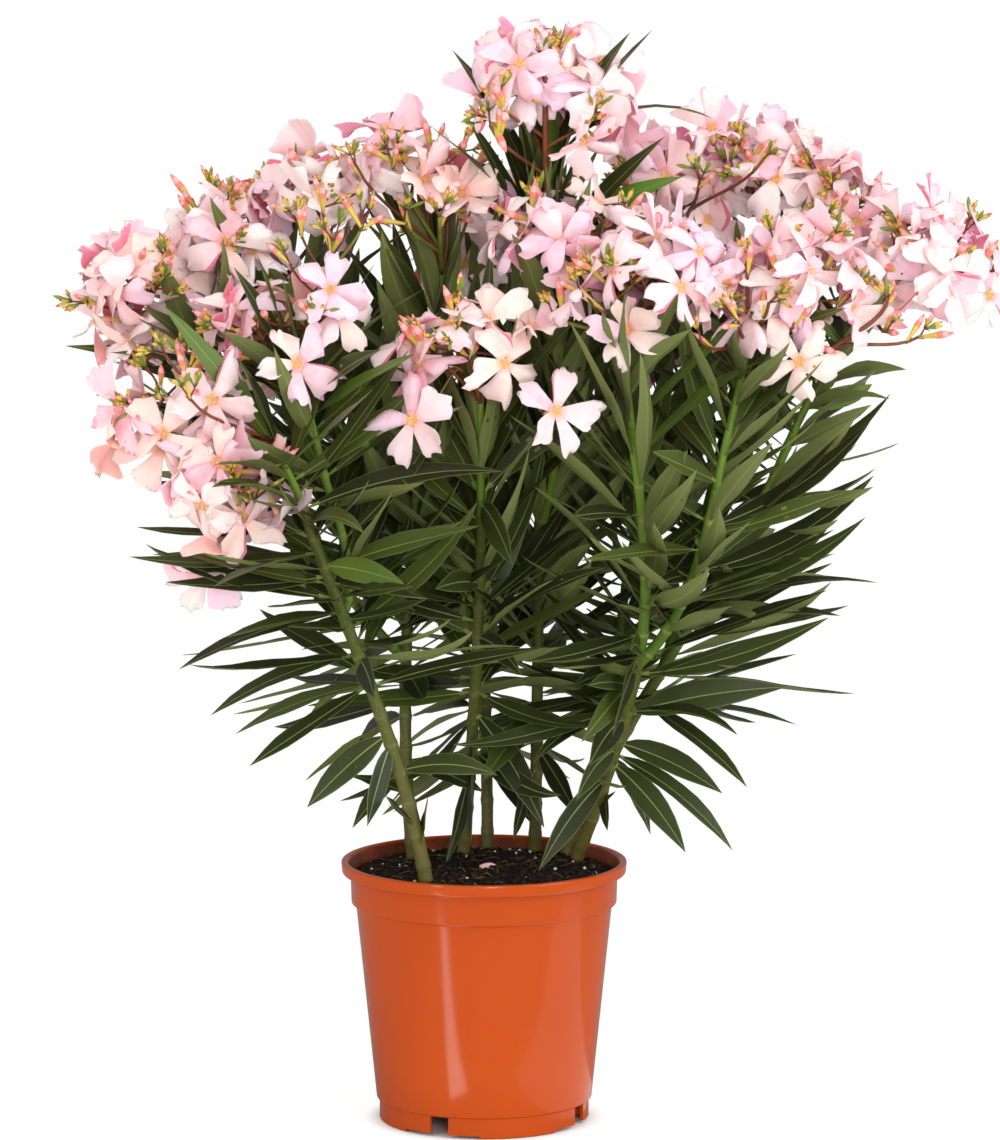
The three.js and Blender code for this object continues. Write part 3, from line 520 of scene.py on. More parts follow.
def scattered_lumps(skin, count, sizes, random, flatness):
    """Uneven lumps strewn over the compost, each sunk into it a little."""
    for _ in range(count):
        radius = SOIL_RADIUS * SCATTER_WIDTH * math.sqrt(random.random())
        turn = random.random() * 2 * math.pi
        size = random.uniform(*sizes)
        shape = LUMP_POINTS * (1 + random.uniform(-0.35, 0.35, (len(LUMP_POINTS), 1)))
        shape = shape * (size, size * random.uniform(0.6, 1), size * flatness)
        x, y = radius * math.cos(turn), radius * math.sin(turn)
        skin.add(shape + (x, y, soil_height(x, y) + size * 0.25), tris=LUMP_TRIS)


soil_random = np.random.default_rng(5)
crumb_skin = Skin()
scattered_lumps(crumb_skin, CRUMBS, CRUMB_SIZES, soil_random, flatness=0.7)
crumb_peat = finish_material("peat_crumbs", paint(52, 40, 31), paint(20, 15, 12), patch=400, grain=2400,
                             rough=(0.85, 1.0), bump=0.6, depth=0.4, specular=0.15)
crumbs = crumb_skin.piece("compost_crumbs", [crumb_peat])
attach(crumbs, "root")
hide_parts("compost")

fleck_skin = Skin()
scattered_lumps(fleck_skin, PERLITE, PERLITE_SIZES, soil_random, flatness=0.9)
perlite_white = finish_material("perlite_white", paint(226, 220, 208), paint(190, 182, 166), patch=500,
                                grain=3000, rough=(0.7, 0.9), bump=0.5, depth=0.3)
fibre_brown = finish_material("bark_fibre", paint(118, 92, 62), paint(66, 48, 32), patch=200, grain=2500,
                              rough=(0.75, 0.95), bump=0.4, depth=0.2, specular=0.2)
for _ in range(FIBRES):
    radius = SOIL_RADIUS * FIBRE_WIDTH * math.sqrt(soil_random.random())
    turn = soil_random.random() * 2 * math.pi
    length = soil_random.uniform(*FIBRE_LENGTHS)
    heading = soil_random.random() * 2 * math.pi
    curl = soil_random.uniform(-FIBRE_CURL, FIBRE_CURL)
    thickness = soil_random.uniform(*FIBRE_HALF_WIDTHS)
    strand = []
    for step in range(FIBRE_STEPS):
        bend = heading + curl * step
        x = radius * math.cos(turn) + length * step / FIBRE_STEPS * math.cos(bend)
        y = radius * math.sin(turn) + length * step / FIBRE_STEPS * math.sin(bend)
        if math.hypot(x, y) > SOIL_RADIUS - 2:
            break
        side = np.array([-math.sin(bend), math.cos(bend), 0]) * thickness
        middle = np.array([x, y, soil_height(x, y) + 0.5 + 1.2 * math.sin(step * 0.8)])
        strand += [middle + side, middle + (0, 0, thickness), middle - side]
    spans = len(strand) // 3
    if spans > 1:
        fleck_skin.add(strand, lathe_faces(spans, 3)[..., ::-1],
                       [(0, 1, 2), (3 * spans - 1, 3 * spans - 2, 3 * spans - 3)], slot=1)
flecks = fleck_skin.piece("perlite_and_fibres", [perlite_white, fibre_brown])
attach(flecks, "root")
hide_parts("compost")

# ------------------------------------------------------------------ canes and boughs
# Seven canes, olive brown at the foot and green above, fork into thirteen green boughs. Each is
# round, tapers, and swells in a ring wherever three leaves stand or have stood.
CANES = [  # name, foot, top, way it leaves, way it arrives, radii
    ("cane_front_left", (-38, -52), (-118.8, -74, 424), (-0.16, 0, 1), (-0.34, 0, 1), (5.8, 3.4)),
    ("cane_middle", (-14, 44), (-2, -20, 417), (0.08, -0.1, 1), (0, -0.25, 1), (5.2, 3.2)),
    ("cane_centre_tall", (34, 60), (39, 45, 523), (0.02, 0, 1), (0.02, -0.05, 1), (5.2, 3)),
    ("cane_right", (62, 32), (102.8, -15, 317), (0.34, -0.25, 1), (0.16, -0.22, 1), (5.5, 4.2)),
    ("cane_back_right", (55, 50), (127, 45, 308), (0.38, 0, 1), (0.6, 0, 1), (5.2, 4)),
    ("cane_back_left", (-48, 28), (-50.8, 40, 336), (-0.1, 0.02, 1), (0.05, 0, 1), (5, 3.8)),
    ("cane_back", (2, 74), (0, 108, 330), (0, 0.1, 1), (0, 0.2, 1), (5, 3.8)),
]
BOUGHS = [  # name, limb it leaves, share of that limb, top, way it leaves, way it arrives, radii
    ("bough_left_low", "cane_front_left", 0.7, (-107.9, -45, 453), (0.5, 0.8, 1), (-0.2, 0, 1), (3.2, 2.6)),
    ("bough_centre", "cane_centre_tall", 0.62, (50, 3, 494), (0.35, -1, 1), (0.02, -0.1, 1), (3.2, 2.6)),
    ("bough_right_inner", "cane_right", 1, (96.4, -50, 467), None, (-0.12, -0.08, 1), (3.9, 2.9)),
    ("bough_right_outer", "cane_right", 0.93, (151.3, -45, 427), (1, -0.2, 1), (0.2, 0, 1), (3.7, 2.9)),
    ("bough_far_right", "cane_back_right", 1, (202.9, 30, 451), None, (0.4, 0, 1), (3.7, 2.8)),
    ("bough_upper_right", "cane_back_right", 0.9, (166, 84, 473), (0.4, 1, 1), (0.2, 0, 1), (3.4, 2.7)),
    ("bough_right_back", "cane_back_right", 0.66, (118, 96, 468), (-0.5, 1, 1), (0.1, 0, 1), (3.4, 2.7)),
    ("bough_far_left", "cane_back_left", 0.8, (-145.2, 26, 458), (-1, -0.1, 0.9), (-0.4, 0, 1), (3.5, 2.7)),
    ("bough_upper_left", "cane_back_left", 0.93, (-104, 70, 474), (-0.8, 0.8, 1), (-0.2, 0, 1), (3.4, 2.7)),
    ("bough_left_centre", "cane_back_left", 1, (-39.4, 48, 462), None, (0.1, 0, 1), (3.6, 2.8)),
    ("bough_back_left", "cane_back", 0.9, (-86, 142, 430), (-1, 0.4, 1), (-0.4, 0.1, 1), (3.4, 2.7)),
    ("bough_back_centre", "cane_back", 1, (-6, 156, 462), None, (0, 0.15, 1), (3.6, 2.7)),
    ("bough_back_right", "cane_back", 0.8, (84, 146, 436), (1, 0.4, 1), (0.4, 0.1, 1), (3.4, 2.7)),
]
STEM_SIDES = 16
STEM_STEP = 2.5
STEM_NOISE = 0.04  # uneven bark, as a share of the radius
RING_SWELLING = 0.15  # at a ring of leaves, as a share of the radius
RING_REACH = 2.4  # how far along the stem the swelling goes
RIDGE = 0.025  # of the three soft ridges, as a share of the radius
RIDGE_TWIST = 0.02
PALE_RING = 1.6  # how near a ring of leaves the bark is pale
SCARRED_RING = 0.9  # how near it old leaves have left their scars
FLECK_SCALE = 620
FLECK_STRETCH = 0.3  # along the stem
LIMB_WHORL_GAP = 21  # between the rings of leaves on canes and boughs


def unit(vector):
    vector = np.asarray(vector, float)
    return vector / np.linalg.norm(vector, axis=-1, keepdims=True)


class Line:
    """The centre line of a limb or stalk, smooth from its start to its end."""

    def __init__(self, start, end, leave, arrive):
        start, end = np.array(start, float), np.array(end, float)
        reach = np.linalg.norm(end - start) / 3
        self.handles = np.array([start, start + unit(leave) * reach, end - unit(arrive) * reach, end])
        self.shares = np.linspace(0, 1, 201)
        steps = np.linalg.norm(np.diff(self.at(self.shares), axis=0), axis=1)
        self.run = np.concatenate([[0], np.cumsum(steps)])
        self.length = self.run[-1]

    def at(self, t):
        t = np.asarray(t, float)[..., None]
        a, b, c, d = self.handles
        return (1 - t) ** 3 * a + 3 * (1 - t) ** 2 * t * b + 3 * (1 - t) * t ** 2 * c + t ** 3 * d

    def way(self, t):
        t = np.asarray(t, float)[..., None]
        a, b, c, d = self.handles
        return unit((1 - t) ** 2 * (b - a) + 2 * (1 - t) * t * (c - b) + t ** 2 * (d - c))

    def even(self, share):
        """The share of the curve's own measure at that share of its length."""
        return np.interp(np.asarray(share) * self.length, self.run, self.shares)


def frames_along(ways):
    across = unit(np.cross((0, 1, 0), ways))
    return across, np.cross(ways, across)


def spokes_round(across, other, sides):
    """Unit steps out from an axis, evenly round it, for each pair of directions across it."""
    turns = np.linspace(0, 2 * np.pi, sides, endpoint=False)
    return across[:, None] * np.cos(turns)[None, :, None] + other[:, None] * np.sin(turns)[None, :, None]


def add_tube(skin, centres, ways, radii, sides, slot=0, relief=None):
    """A closed tube with blunt pointed ends. relief is a share added to the radius, ring by side."""
    across, other = frames_along(ways)
    reach = radii[:, None] * (1 + (relief if relief is not None else np.zeros((1, sides))))
    rings = centres[:, None] + reach[..., None] * spokes_round(across, other, sides)
    count = len(centres)
    points = np.concatenate([rings.reshape(-1, 3), [centres[0] - ways[0] * radii[0] * 0.3],
                             [centres[-1] + ways[-1] * radii[-1] * 0.3]])
    start_cap = fan_faces(count * sides, 0, sides, flipped=True)
    end_cap = fan_faces(count * sides + 1, (count - 1) * sides, sides)
    skin.add(points, lathe_faces(count, sides), np.concatenate([start_cap, end_cap]), slot)


def flare(t):
    """How thick a cane is there: it fills out on its way up, and spreads a little at the foot."""
    return 0.80 + 0.16 * np.minimum(1, t / 0.9) + 0.08 * np.maximum(0, 1 - t / 0.04) ** 2


limbs = {}


class Limb:
    """A cane or a bough: its centre line, its two radii and the cane that it belongs to."""

    def __init__(self, name, line, radii, is_cane, family):
        self.name, self.line, self.radii, self.is_cane, self.family = name, line, radii, is_cane, family

    def radius(self, t):
        plain = self.radii[0] + (self.radii[1] - self.radii[0]) * np.asarray(t, float)
        return plain * flare(t) if self.is_cane else plain

    def ring_runs(self, gap=LIMB_WHORL_GAP):
        """Where the rings of leaves are, in millimetres from the foot."""
        return np.arange(gap * 0.55, self.line.length - 4, gap)


for name, foot, top, leave, arrive, radii in CANES:
    start = (*foot, soil_top(math.hypot(*foot) - radii[0] * 1.4) + SOIL_GAP)
    limbs[name] = Limb(name, Line(start, top, leave, arrive), radii, True, name.replace("cane_", ""))
for name, parent, share, top, leave, arrive, radii in BOUGHS:
    stem = limbs[parent]
    line = Line(stem.line.at(share), top, leave or stem.line.way(1.0), arrive)
    limbs[name] = Limb(name, line, radii, False, stem.family)


def height_group():
    """A colour that turns from one to another between two heights."""
    group = bpy.data.node_groups.new("colour_by_height", "ShaderNodeTree")
    group_socket(group, "Low Colour", "Color", (0.2, 0.2, 0.1, 1))
    group_socket(group, "High Colour", "Color", (0.2, 0.4, 0.1, 1))
    group_socket(group, "Low Height", "Float", 0.17)
    group_socket(group, "High Height", "Float", 0.4)
    group_socket(group, "Colour", "Color", out=True)
    nodes, links = group.nodes, group.links
    given, made = nodes.new("NodeGroupInput"), nodes.new("NodeGroupOutput")
    place, split = nodes.new("ShaderNodeTexCoord"), nodes.new("ShaderNodeSeparateXYZ")
    spread, blend = nodes.new("ShaderNodeMapRange"), nodes.new("ShaderNodeMix")
    blend.data_type = "RGBA"
    links.new(place.outputs["Object"], split.inputs["Vector"])
    links.new(split.outputs["Z"], spread.inputs["Value"])
    links.new(given.outputs["Low Height"], spread.inputs["From Min"])
    links.new(given.outputs["High Height"], spread.inputs["From Max"])
    links.new(spread.outputs["Result"], blend.inputs["Factor"])
    links.new(given.outputs["Low Colour"], blend.inputs["A"])
    links.new(given.outputs["High Colour"], blend.inputs["B"])
    links.new(blend.outputs["Result"], made.inputs["Colour"])
    return group


HEIGHT = height_group()


def stem_material(name, low, high, low_height, high_height, fleck, fleck_share):
    """Smooth green bark with pale long flecks, over a colour that changes with height."""
    material = finish_material(name, high, low, patch=60, grain=900, rough=(0.40, 0.60), bump=0.25, depth=0.3,
                               specular=0.35)
    nodes, links = material.node_tree.nodes, material.node_tree.links
    by_height = nodes.new("ShaderNodeGroup")
    by_height.node_tree = HEIGHT
    by_height.inputs["Low Colour"].default_value = low
    by_height.inputs["High Colour"].default_value = high
    by_height.inputs["Low Height"].default_value = low_height * MM
    by_height.inputs["High Height"].default_value = high_height * MM
    place, stretch = nodes.new("ShaderNodeTexCoord"), nodes.new("ShaderNodeMapping")
    stretch.inputs["Scale"].default_value = (1, 1, FLECK_STRETCH)
    cells, pick = nodes.new("ShaderNodeTexVoronoi"), nodes.new("ShaderNodeMapRange")
    cells.inputs["Scale"].default_value = FLECK_SCALE
    pick.inputs["From Min"].default_value = fleck_share
    pick.inputs["From Max"].default_value = fleck_share * 0.5
    links.new(place.outputs["Object"], stretch.inputs["Vector"])
    links.new(stretch.outputs["Vector"], cells.inputs["Vector"])
    links.new(cells.outputs["Distance"], pick.inputs["Value"])
    blend = nodes.new("ShaderNodeMix")
    blend.data_type = "RGBA"
    blend.inputs["B"].default_value = fleck
    links.new(pick.outputs["Result"], blend.inputs["Factor"])
    links.new(by_height.outputs["Colour"], blend.inputs["A"])
    links.new(blend.outputs["Result"], nodes["Principled BSDF"].inputs["Base Color"])
    return material


cane_bark = stem_material("cane_bark", paint(94, 86, 34), paint(80, 90, 28), 180, 300,
                          paint(130, 122, 68), 0.2)
green_bark = stem_material("green_stem", paint(82, 112, 30), paint(112, 142, 40), 330, 520,
                           paint(138, 156, 84), 0.14)
node_green = finish_material("node_green", paint(130, 138, 56), paint(108, 118, 40), patch=200, grain=1200,
                             rough=(0.45, 0.6), bump=0.2)
node_olive = finish_material("node_olive", paint(102, 102, 42), paint(86, 82, 31), patch=200, grain=1200,
                             rough=(0.45, 0.6), bump=0.2)
leaf_scar = finish_material("leaf_scar", paint(128, 104, 58), paint(100, 82, 46), patch=300, grain=1600,
                            rough=(0.6, 0.8), bump=0.3)


def add_stem(skin, limb):
    """The bark of a cane or bough. Its materials are plain bark, pale ring and leaf scar."""
    rings = max(8, int(limb.line.length / STEM_STEP))
    runs = np.linspace(0, limb.line.length, rings)
    t = limb.line.even(runs / limb.line.length)
    turns = np.linspace(0, 2 * np.pi, STEM_SIDES, endpoint=False)
    nearest = np.min(np.abs(runs[:, None] - limb.ring_runs()[None]), axis=1)
    swelling = RING_SWELLING * np.exp(-(nearest / RING_REACH) ** 2)
    ridges = RIDGE * np.cos(3 * turns[None] + runs[:, None] * RIDGE_TWIST)
    skin_noise = np.array([[noise.noise(Vector((math.cos(a) * 1.4, math.sin(a) * 1.4, r * 0.16)))
                            for a in turns] for r in runs])
    relief = swelling[:, None] + ridges + STEM_NOISE * skin_noise
    spans = (nearest[1:] + nearest[:-1]) / 2
    tone = np.where(spans < PALE_RING, 1, 0)[:, None] * np.ones(STEM_SIDES, int)
    shift = (np.arange(rings - 1) // 8)[:, None] * 3  # so that the scars don't stand in one row
    scarred = (np.arange(STEM_SIDES)[None] + shift) % (STEM_SIDES // 3 + 1) == 0
    tone = np.where(scarred & (spans[:, None] < SCARRED_RING), 2, tone)
    caps = np.array([0])
    add_tube(skin, limb.line.at(t), limb.line.way(t), limb.radius(t), STEM_SIDES,
             np.concatenate([tone.ravel(), caps]), relief)


for limb in limbs.values():
    stem_skin = Skin()
    add_stem(stem_skin, limb)
    bark = [cane_bark, node_olive, leaf_scar] if limb.is_cane else [green_bark, node_green, leaf_scar]
    stem = stem_skin.piece(limb.name + "_bark", bark)
    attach(stem, "root")
    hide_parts(limb.name)

# ------------------------------------------------------------------ flowering shoots
# A soft green shoot grows on from the tip of each limb. It carries the youngest leaves, and at
# its end the flower stalks part into one or two clusters of blossom.
TOPS = [  # name, limb, hub where the stalks part, clusters: middle, half sizes, blossoms, how far round
    ("top_left_low", "cane_front_left", (-136, -78, 462),
     [((-200, -52, 474), (44, 36, 46), 16, 1.5), ((-163, -82, 428), (34, 26, 40), 12, 1.9)]),
    ("top_left_centre", "bough_left_low", (-119, -45, 496), [((-133, -44, 528), (46, 32, 30), 12, 1.3)]),
    ("top_middle", "cane_middle", (-2, -45, 484), [((-2, -64, 512), (52, 26, 36), 12, 1.5)]),
    ("top_crown", "cane_centre_tall", (40, 35, 640), [((37, 25, 684), (60, 48, 46), 30, 1.3)]),
    ("top_centre", "bough_centre", (50, -5, 556), [((50, -10, 588), (54, 34, 30), 14, 1.2)]),
    ("top_right_inner", "bough_right_inner", (87, -56, 528), [((108, -54, 562), (46, 36, 36), 15, 1.4)]),
    ("top_right_outer", "bough_right_outer", (172, -40, 520), [((203, -34, 556), (46, 38, 44), 19, 1.5)]),
    ("top_far_right", "bough_far_right", (254, 25, 540), [((297, 18, 566), (42, 38, 42), 19, 1.6)]),
    ("top_upper_right", "bough_upper_right", (202, 76, 566),
     [((236, 66, 602), (36, 36, 34), 14, 1.4), ((184, 78, 622), (36, 34, 32), 12, 1.2)]),
    ("top_right_back", "bough_right_back", (132, 92, 562), [((132, 84, 606), (36, 40, 34), 14, 1.4)]),
    ("top_far_left", "bough_far_left", (-196, 22, 522), [((-232, 16, 542), (36, 38, 44), 17, 1.6)]),
    ("top_upper_left", "bough_upper_left", (-136, 64, 554),
     [((-112, 58, 608), (38, 38, 30), 13, 1.3), ((-174, 48, 586), (38, 38, 32), 14, 1.4)]),
    ("top_left_inner", "bough_left_centre", (-28, 45, 560), [((-42, 40, 622), (46, 42, 42), 18, 1.4)]),
    ("top_back_left", "bough_back_left", (-128, 158, 480), [((-146, 162, 516), (46, 42, 38), 17, 1.5)]),
    ("top_back_centre", "bough_back_centre", (-8, 172, 528), [((-4, 176, 566), (48, 44, 38), 18, 1.5)]),
    ("top_back_right", "bough_back_right", (120, 164, 488), [((138, 168, 524), (46, 42, 38), 17, 1.5)]),
]
TOP_SEED = 101
TOP_SEED_STEP = 7
BLOSSOM_RADIUS = 26
GOLDEN = math.pi * (3 - math.sqrt(5))
SHOOT_RADII = (2.8, 2.3)
BRANCH_RADII = (1.6, 0.95)
PEDICEL_RADII = (0.85, 0.65)
SHOOT_STEPS, BRANCH_STEPS, PEDICEL_STEPS = 24, 12, 7
TUBE_LENGTH = 20  # of a blossom, from its mouth to its calyx
KEPT_SHARE = 0.74  # of a cluster's blossoms, where nothing else is said
KEPT_SHARES = {"top_middle": 0.3, "top_crown": 0.66}
STRAY_PLACE = 4.5
STRAY_FACING = 0.36
FORWARD = (0, -0.10, 0)  # how much every blossom turns to the front
CROWN_CLOSER = (0.76, 0.9, 0.84)  # how close the crown's blossoms stand, against the rule
CROWN_SHIFT = (6, 0, -4)
STALK_PLACE = 44  # where the crown's dark stalk shows between its blossoms
STALK_GAP = 18  # open on each side of it
STALK_FRONT = 22
STALK_TOP = 690
LEFT_OF_CROWN = (-44, 626)  # no blossom of the left inner top stands right of this and above it


def seeded(seed):
    """The same repeatable stream of numbers in 0..1 that places the plant's solids."""
    whole = 0xFFFFFFFF
    state = seed & whole

    def draw(low=0.0, high=1.0):
        nonlocal state
        state = (state + 0x6D2B79F5) & whole
        t = state
        t = ((t ^ (t >> 15)) * (t | 1)) & whole
        t ^= (t + (((t ^ (t >> 7)) * (t | 61)) & whole)) & whole
        return low + (high - low) * ((t ^ (t >> 14)) & whole) / 4294967296
    return draw


def blossoms_of(cluster, hub, draw):
    """Spread round a cluster by the golden angle, each facing out on its stalk."""
    middle, size = np.array(cluster[0], float), np.array(cluster[1], float)
    count, reach_round = cluster[2:]
    start = draw(0, 2 * math.pi)
    found = []
    for i in range(count):
        lift = 1 - ((i + 0.5) / count) * reach_round
        level = math.sqrt(1 - lift * lift)
        turn = start + GOLDEN * i
        out = np.array([level * math.cos(turn), level * math.sin(turn), lift])
        at = middle + out * size * draw(0.72, 0.98)
        facing = out + 0.7 * unit(at - hub)
        facing = facing + (draw(-0.35, 0.35), draw(-0.5, 0.15), draw(-0.2, 0.35))
        spin = draw(0, 2 * math.pi)
        radius = BLOSSOM_RADIUS * draw(0.9, 1.06)
        found.append({"at": at, "facing": unit(facing), "spin": spin, "radius": radius,
                      "from": draw(0.15, 0.7)})
    return found


class Top:
    """A flowering shoot: its centre line, its clusters and their blossoms."""

    def __init__(self, name, limb, hub, clusters, seed):
        self.name, self.limb, self.hub, self.clusters = name, limb, np.array(hub, float), clusters
        self.draw = seeded(seed)
        start = limb.line.at(1.0)
        self.line = Line(start, hub, limb.line.way(1.0), self.hub - start)
        self.blossoms = [blossoms_of(cluster, self.hub, self.draw) for cluster in clusters]

    def radius(self, t):
        return SHOOT_RADII[0] + (SHOOT_RADII[1] - SHOOT_RADII[0]) * np.asarray(t, float)


tops = [Top(name, limbs[limb], hub, clusters, TOP_SEED + TOP_SEED_STEP * i)
        for i, (name, limb, hub, clusters) in enumerate(TOPS)]

def left_open(top, blossom):
    """The crown is open at the front, where its dark stalk shows, and so is the place on its left."""
    x, y, z = blossom["at"]
    by_stalk = abs(x - STALK_PLACE) < STALK_GAP and y < STALK_FRONT and z < STALK_TOP
    by_crown = x > LEFT_OF_CROWN[0] and z > LEFT_OF_CROWN[1]
    return (top.name == "top_crown" and by_stalk) or (top.name == "top_left_inner" and by_crown)


crown = next(top for top in tops if top.name == "top_crown")
crown_middle = np.array(crown.clusters[0][0], float)
for blossom in crown.blossoms[0]:  # the crown stands closer than the rule, and leans to the right
    blossom["at"] = crown_middle + (blossom["at"] - crown_middle) * CROWN_CLOSER + CROWN_SHIFT

# The clusters are looser than the rule: some blossoms have dropped, and the rest stray and turn
# their own ways. The one in the middle has opened only a few.
stray = np.random.default_rng(41)
for top in tops:
    for number, group in enumerate(top.blossoms):
        kept = KEPT_SHARES.get(top.name, KEPT_SHARE)
        group = [blossom for blossom in group if stray.random() < kept and not left_open(top, blossom)]
        top.blossoms[number] = group
        for blossom in group:
            blossom["at"] = blossom["at"] + stray.normal(0, STRAY_PLACE, 3)
            blossom["facing"] = unit(blossom["facing"] + stray.normal(0, STRAY_FACING, 3) + FORWARD)

# Blossoms that stand out at the front of the plant, given one by one: the top that bears them,
# middle, facing, spin and size.
FRONT_BLOSSOMS = [
    ("top_middle", (-46, -92, 478), (-0.30, -1, 0.20), 0.50, 1.06),
    ("top_middle", (47, -84, 483), (0.42, -1, 0.20), 1.05, 0.98),
    ("top_middle", (2, -74, 542), (-0.35, -0.8, 0.45), 0.10, 0.96),
    ("top_middle", (14, -86, 514), (0.40, -0.9, 0.10), 0.70, 0.96),
    ("top_left_low", (-155, -98, 416), (0.05, -1, 0.10), 0.20, 0.98),
    ("top_left_low", (-182, -92, 448), (0.05, -1, 0.05), 0.95, 0.94),
    ("top_left_low", (-174, -96, 492), (0.05, -1, 0.10), 0.60, 1.00),
    ("top_left_low", (-208, -66, 458), (-0.35, -0.9, 0.05), 0.35, 1.02),
    ("top_left_low", (-180, -62, 374), (-0.20, -0.8, -0.5), 0.90, 0.95),
    ("top_left_centre", (-120, -84, 514), (0.25, -1, 0.30), 0.30, 0.98),
    ("top_left_centre", (-99, -66, 560), (0.10, -1, 0.15), 0.80, 0.90),
    ("top_right_outer", (204, -66, 513), (0.10, -1, 0.05), 0.75, 0.98),
    ("top_right_inner", (92, -82, 536), (0.10, -1, 0.15), 0.15, 0.96),
    ("top_right_inner", (138, -66, 570), (-0.05, -1, 0.25), 0.55, 1.00),
    ("top_centre", (53, -46, 594), (-0.10, -1, 0.35), 0.95, 0.96),
    ("top_centre", (68, -50, 566), (0.20, -1, 0.00), 0.30, 0.96),
    ("top_crown", (23, -14, 703), (-0.15, -1, 0.30), 0.45, 0.94),
    ("top_crown", (73, -8, 685), (0.35, -0.9, 0.45), 1.15, 0.94),
    ("top_crown", (66, -16, 652), (0.35, -0.6, -0.45), 0.20, 0.84),
    ("top_upper_right", (150, 32, 658), (-0.1, -0.8, 0.6), 0.4, 0.95),
    ("top_right_back", (120, 30, 626), (-0.2, -1, 0.3), 0.9, 0.95),
    ("top_right_back", (96, 44, 650), (-0.1, -0.9, 0.5), 0.2, 0.9),
]
for name, at, facing, spin, size in FRONT_BLOSSOMS:
    top = next(t for t in tops if t.name == name)
    at = np.array(at, float)
    distances = [np.linalg.norm(at - np.array(c[0])) for c in top.clusters]
    top.blossoms[int(np.argmin(distances))].append(
        {"at": at, "facing": unit(facing), "spin": spin, "radius": BLOSSOM_RADIUS * size, "from": 0.5})


def branches_of(top, number):
    """The flower stalks of one cluster: they part at the hub and spread inside the cluster."""
    middle, size = (np.array(value, float) for value in top.clusters[number][:2])
    count = 3 if len(top.clusters) == 1 else 2
    first = top.draw(0, 2 * math.pi)
    way = unit(middle - top.hub)
    branches = []
    for j in range(count):
        turn = first + 2 * math.pi * j / count
        aside = np.array([math.cos(turn), math.sin(turn), 0.0])
        end = middle + aside * size * 0.42 + (0, 0, size[2] * 0.12)
        branches.append(Line(top.hub, end, way + aside * 0.55, unit(end - top.hub) + (0, 0, 0.5)))
    return branches


def stalk_material(name, light, dark, patch, bump):
    return finish_material(name, light, dark, patch=patch, grain=1600, rough=(0.45, 0.6), bump=bump)


stalk_brown = stalk_material("flower_stalk_brown", paint(134, 74, 42), paint(98, 48, 30), 90, 0.2)
pedicel_olive = stalk_material("pedicel_olive", paint(150, 128, 58), paint(128, 84, 40), 120, 0.15)
stalk_green = stalk_material("flower_stalk_green", paint(116, 134, 44), paint(124, 104, 42), 110, 0.15)
FAMILIES = list(dict.fromkeys(limb.family for limb in limbs.values()))
shoot_skins = {family: Skin() for family in FAMILIES}
for top in tops:
    skin = shoot_skins[top.limb.family]
    t = np.linspace(0, 1, SHOOT_STEPS)
    add_tube(skin, top.line.at(t), top.line.way(t), top.radius(t), 10, 0)
    top.branches = [branches_of(top, n) for n in range(len(top.clusters))]
    for branches, blossoms in zip(top.branches, top.blossoms):
        t = np.linspace(0, 1, BRANCH_STEPS)
        for branch in branches:
            add_tube(skin, branch.at(t), branch.way(t), np.linspace(*BRANCH_RADII, BRANCH_STEPS), 8, 1)
        for blossom in blossoms:
            foot = blossom["at"] - blossom["facing"] * TUBE_LENGTH * blossom["radius"] / BLOSSOM_RADIUS
            branch = min(branches, key=lambda b: np.linalg.norm(b.at(0.8) - foot))
            share = 0.4 + 0.55 * blossom["from"]
            pedicel = Line(branch.at(share), foot, branch.way(share), blossom["facing"])
            s = np.linspace(0, 1, PEDICEL_STEPS)
            radii = np.linspace(*PEDICEL_RADII, PEDICEL_STEPS)
            add_tube(skin, pedicel.at(s), pedicel.way(s), radii, 6, 2)
for family, skin in shoot_skins.items():
    shoots = skin.piece("flower_shoots_" + family, [green_bark, stalk_brown, pedicel_olive])
    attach(shoots, "root")
    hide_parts(*[top.name for top in tops if top.limb.family == family])

# ------------------------------------------------------------------ blossom
# Five broad silky petals, turned like a pinwheel, open from a narrow funnel with a golden throat
# and a fringed crown. Each blossom stands in a small red-brown calyx on its own stalk.
PETAL_U = np.array([0.0, 0.07, 0.17, 0.32, 0.52, 0.72, 0.88, 1.0])  # from throat to edge
PETAL_V = np.linspace(-1, 1, 9)  # from side to side
PETAL_THICKNESS = 0.35
PETAL_GLOW = 0.75  # how much of the light soaks in
PETAL_GLOW_COLOUR = (1.0, 0.75, 0.7)
PETAL_GLOW_DEPTH = 0.8
MOUTH_RADIUS = 2.4
TINTS = {  # name: inner petal, soft, blade, edge, back
    "pearl": (paint(248, 206, 199), paint(252, 220, 216), paint(252, 226, 223), paint(252, 221, 221),
              paint(250, 214, 216)),
    "shell": (paint(246, 192, 193), paint(250, 207, 208), paint(250, 213, 214), paint(249, 203, 211),
              paint(247, 190, 199)),
    "peach": (paint(246, 190, 178), paint(250, 208, 199), paint(250, 214, 206), paint(250, 204, 198),
              paint(248, 190, 183)),
    "blush": (paint(241, 168, 178), paint(247, 190, 198), paint(249, 202, 210), paint(244, 178, 195),
              paint(238, 148, 170)),
    "lilac": (paint(243, 182, 197), paint(249, 199, 212), paint(249, 207, 220), paint(248, 196, 214),
              paint(243, 174, 200)),
}
PARTS = ("inner", "soft", "blade", "edge", "back")  # of a petal, one colour each
THROAT_GOLD = paint(248, 196, 132)
THROAT_PINK = paint(240, 168, 150)
MARGIN_ROSE = paint(228, 120, 146)
TUBE_YELLOW = paint(234, 208, 116)
TUBE_PEACH = paint(248, 206, 176)
CALYX_RED = paint(140, 70, 44)
PETALS = 5
HALF_OPEN_SHARE = 0.16  # of the blossoms
STRAY_TINTS = 0.25  # share of the petals that have a tint of their own
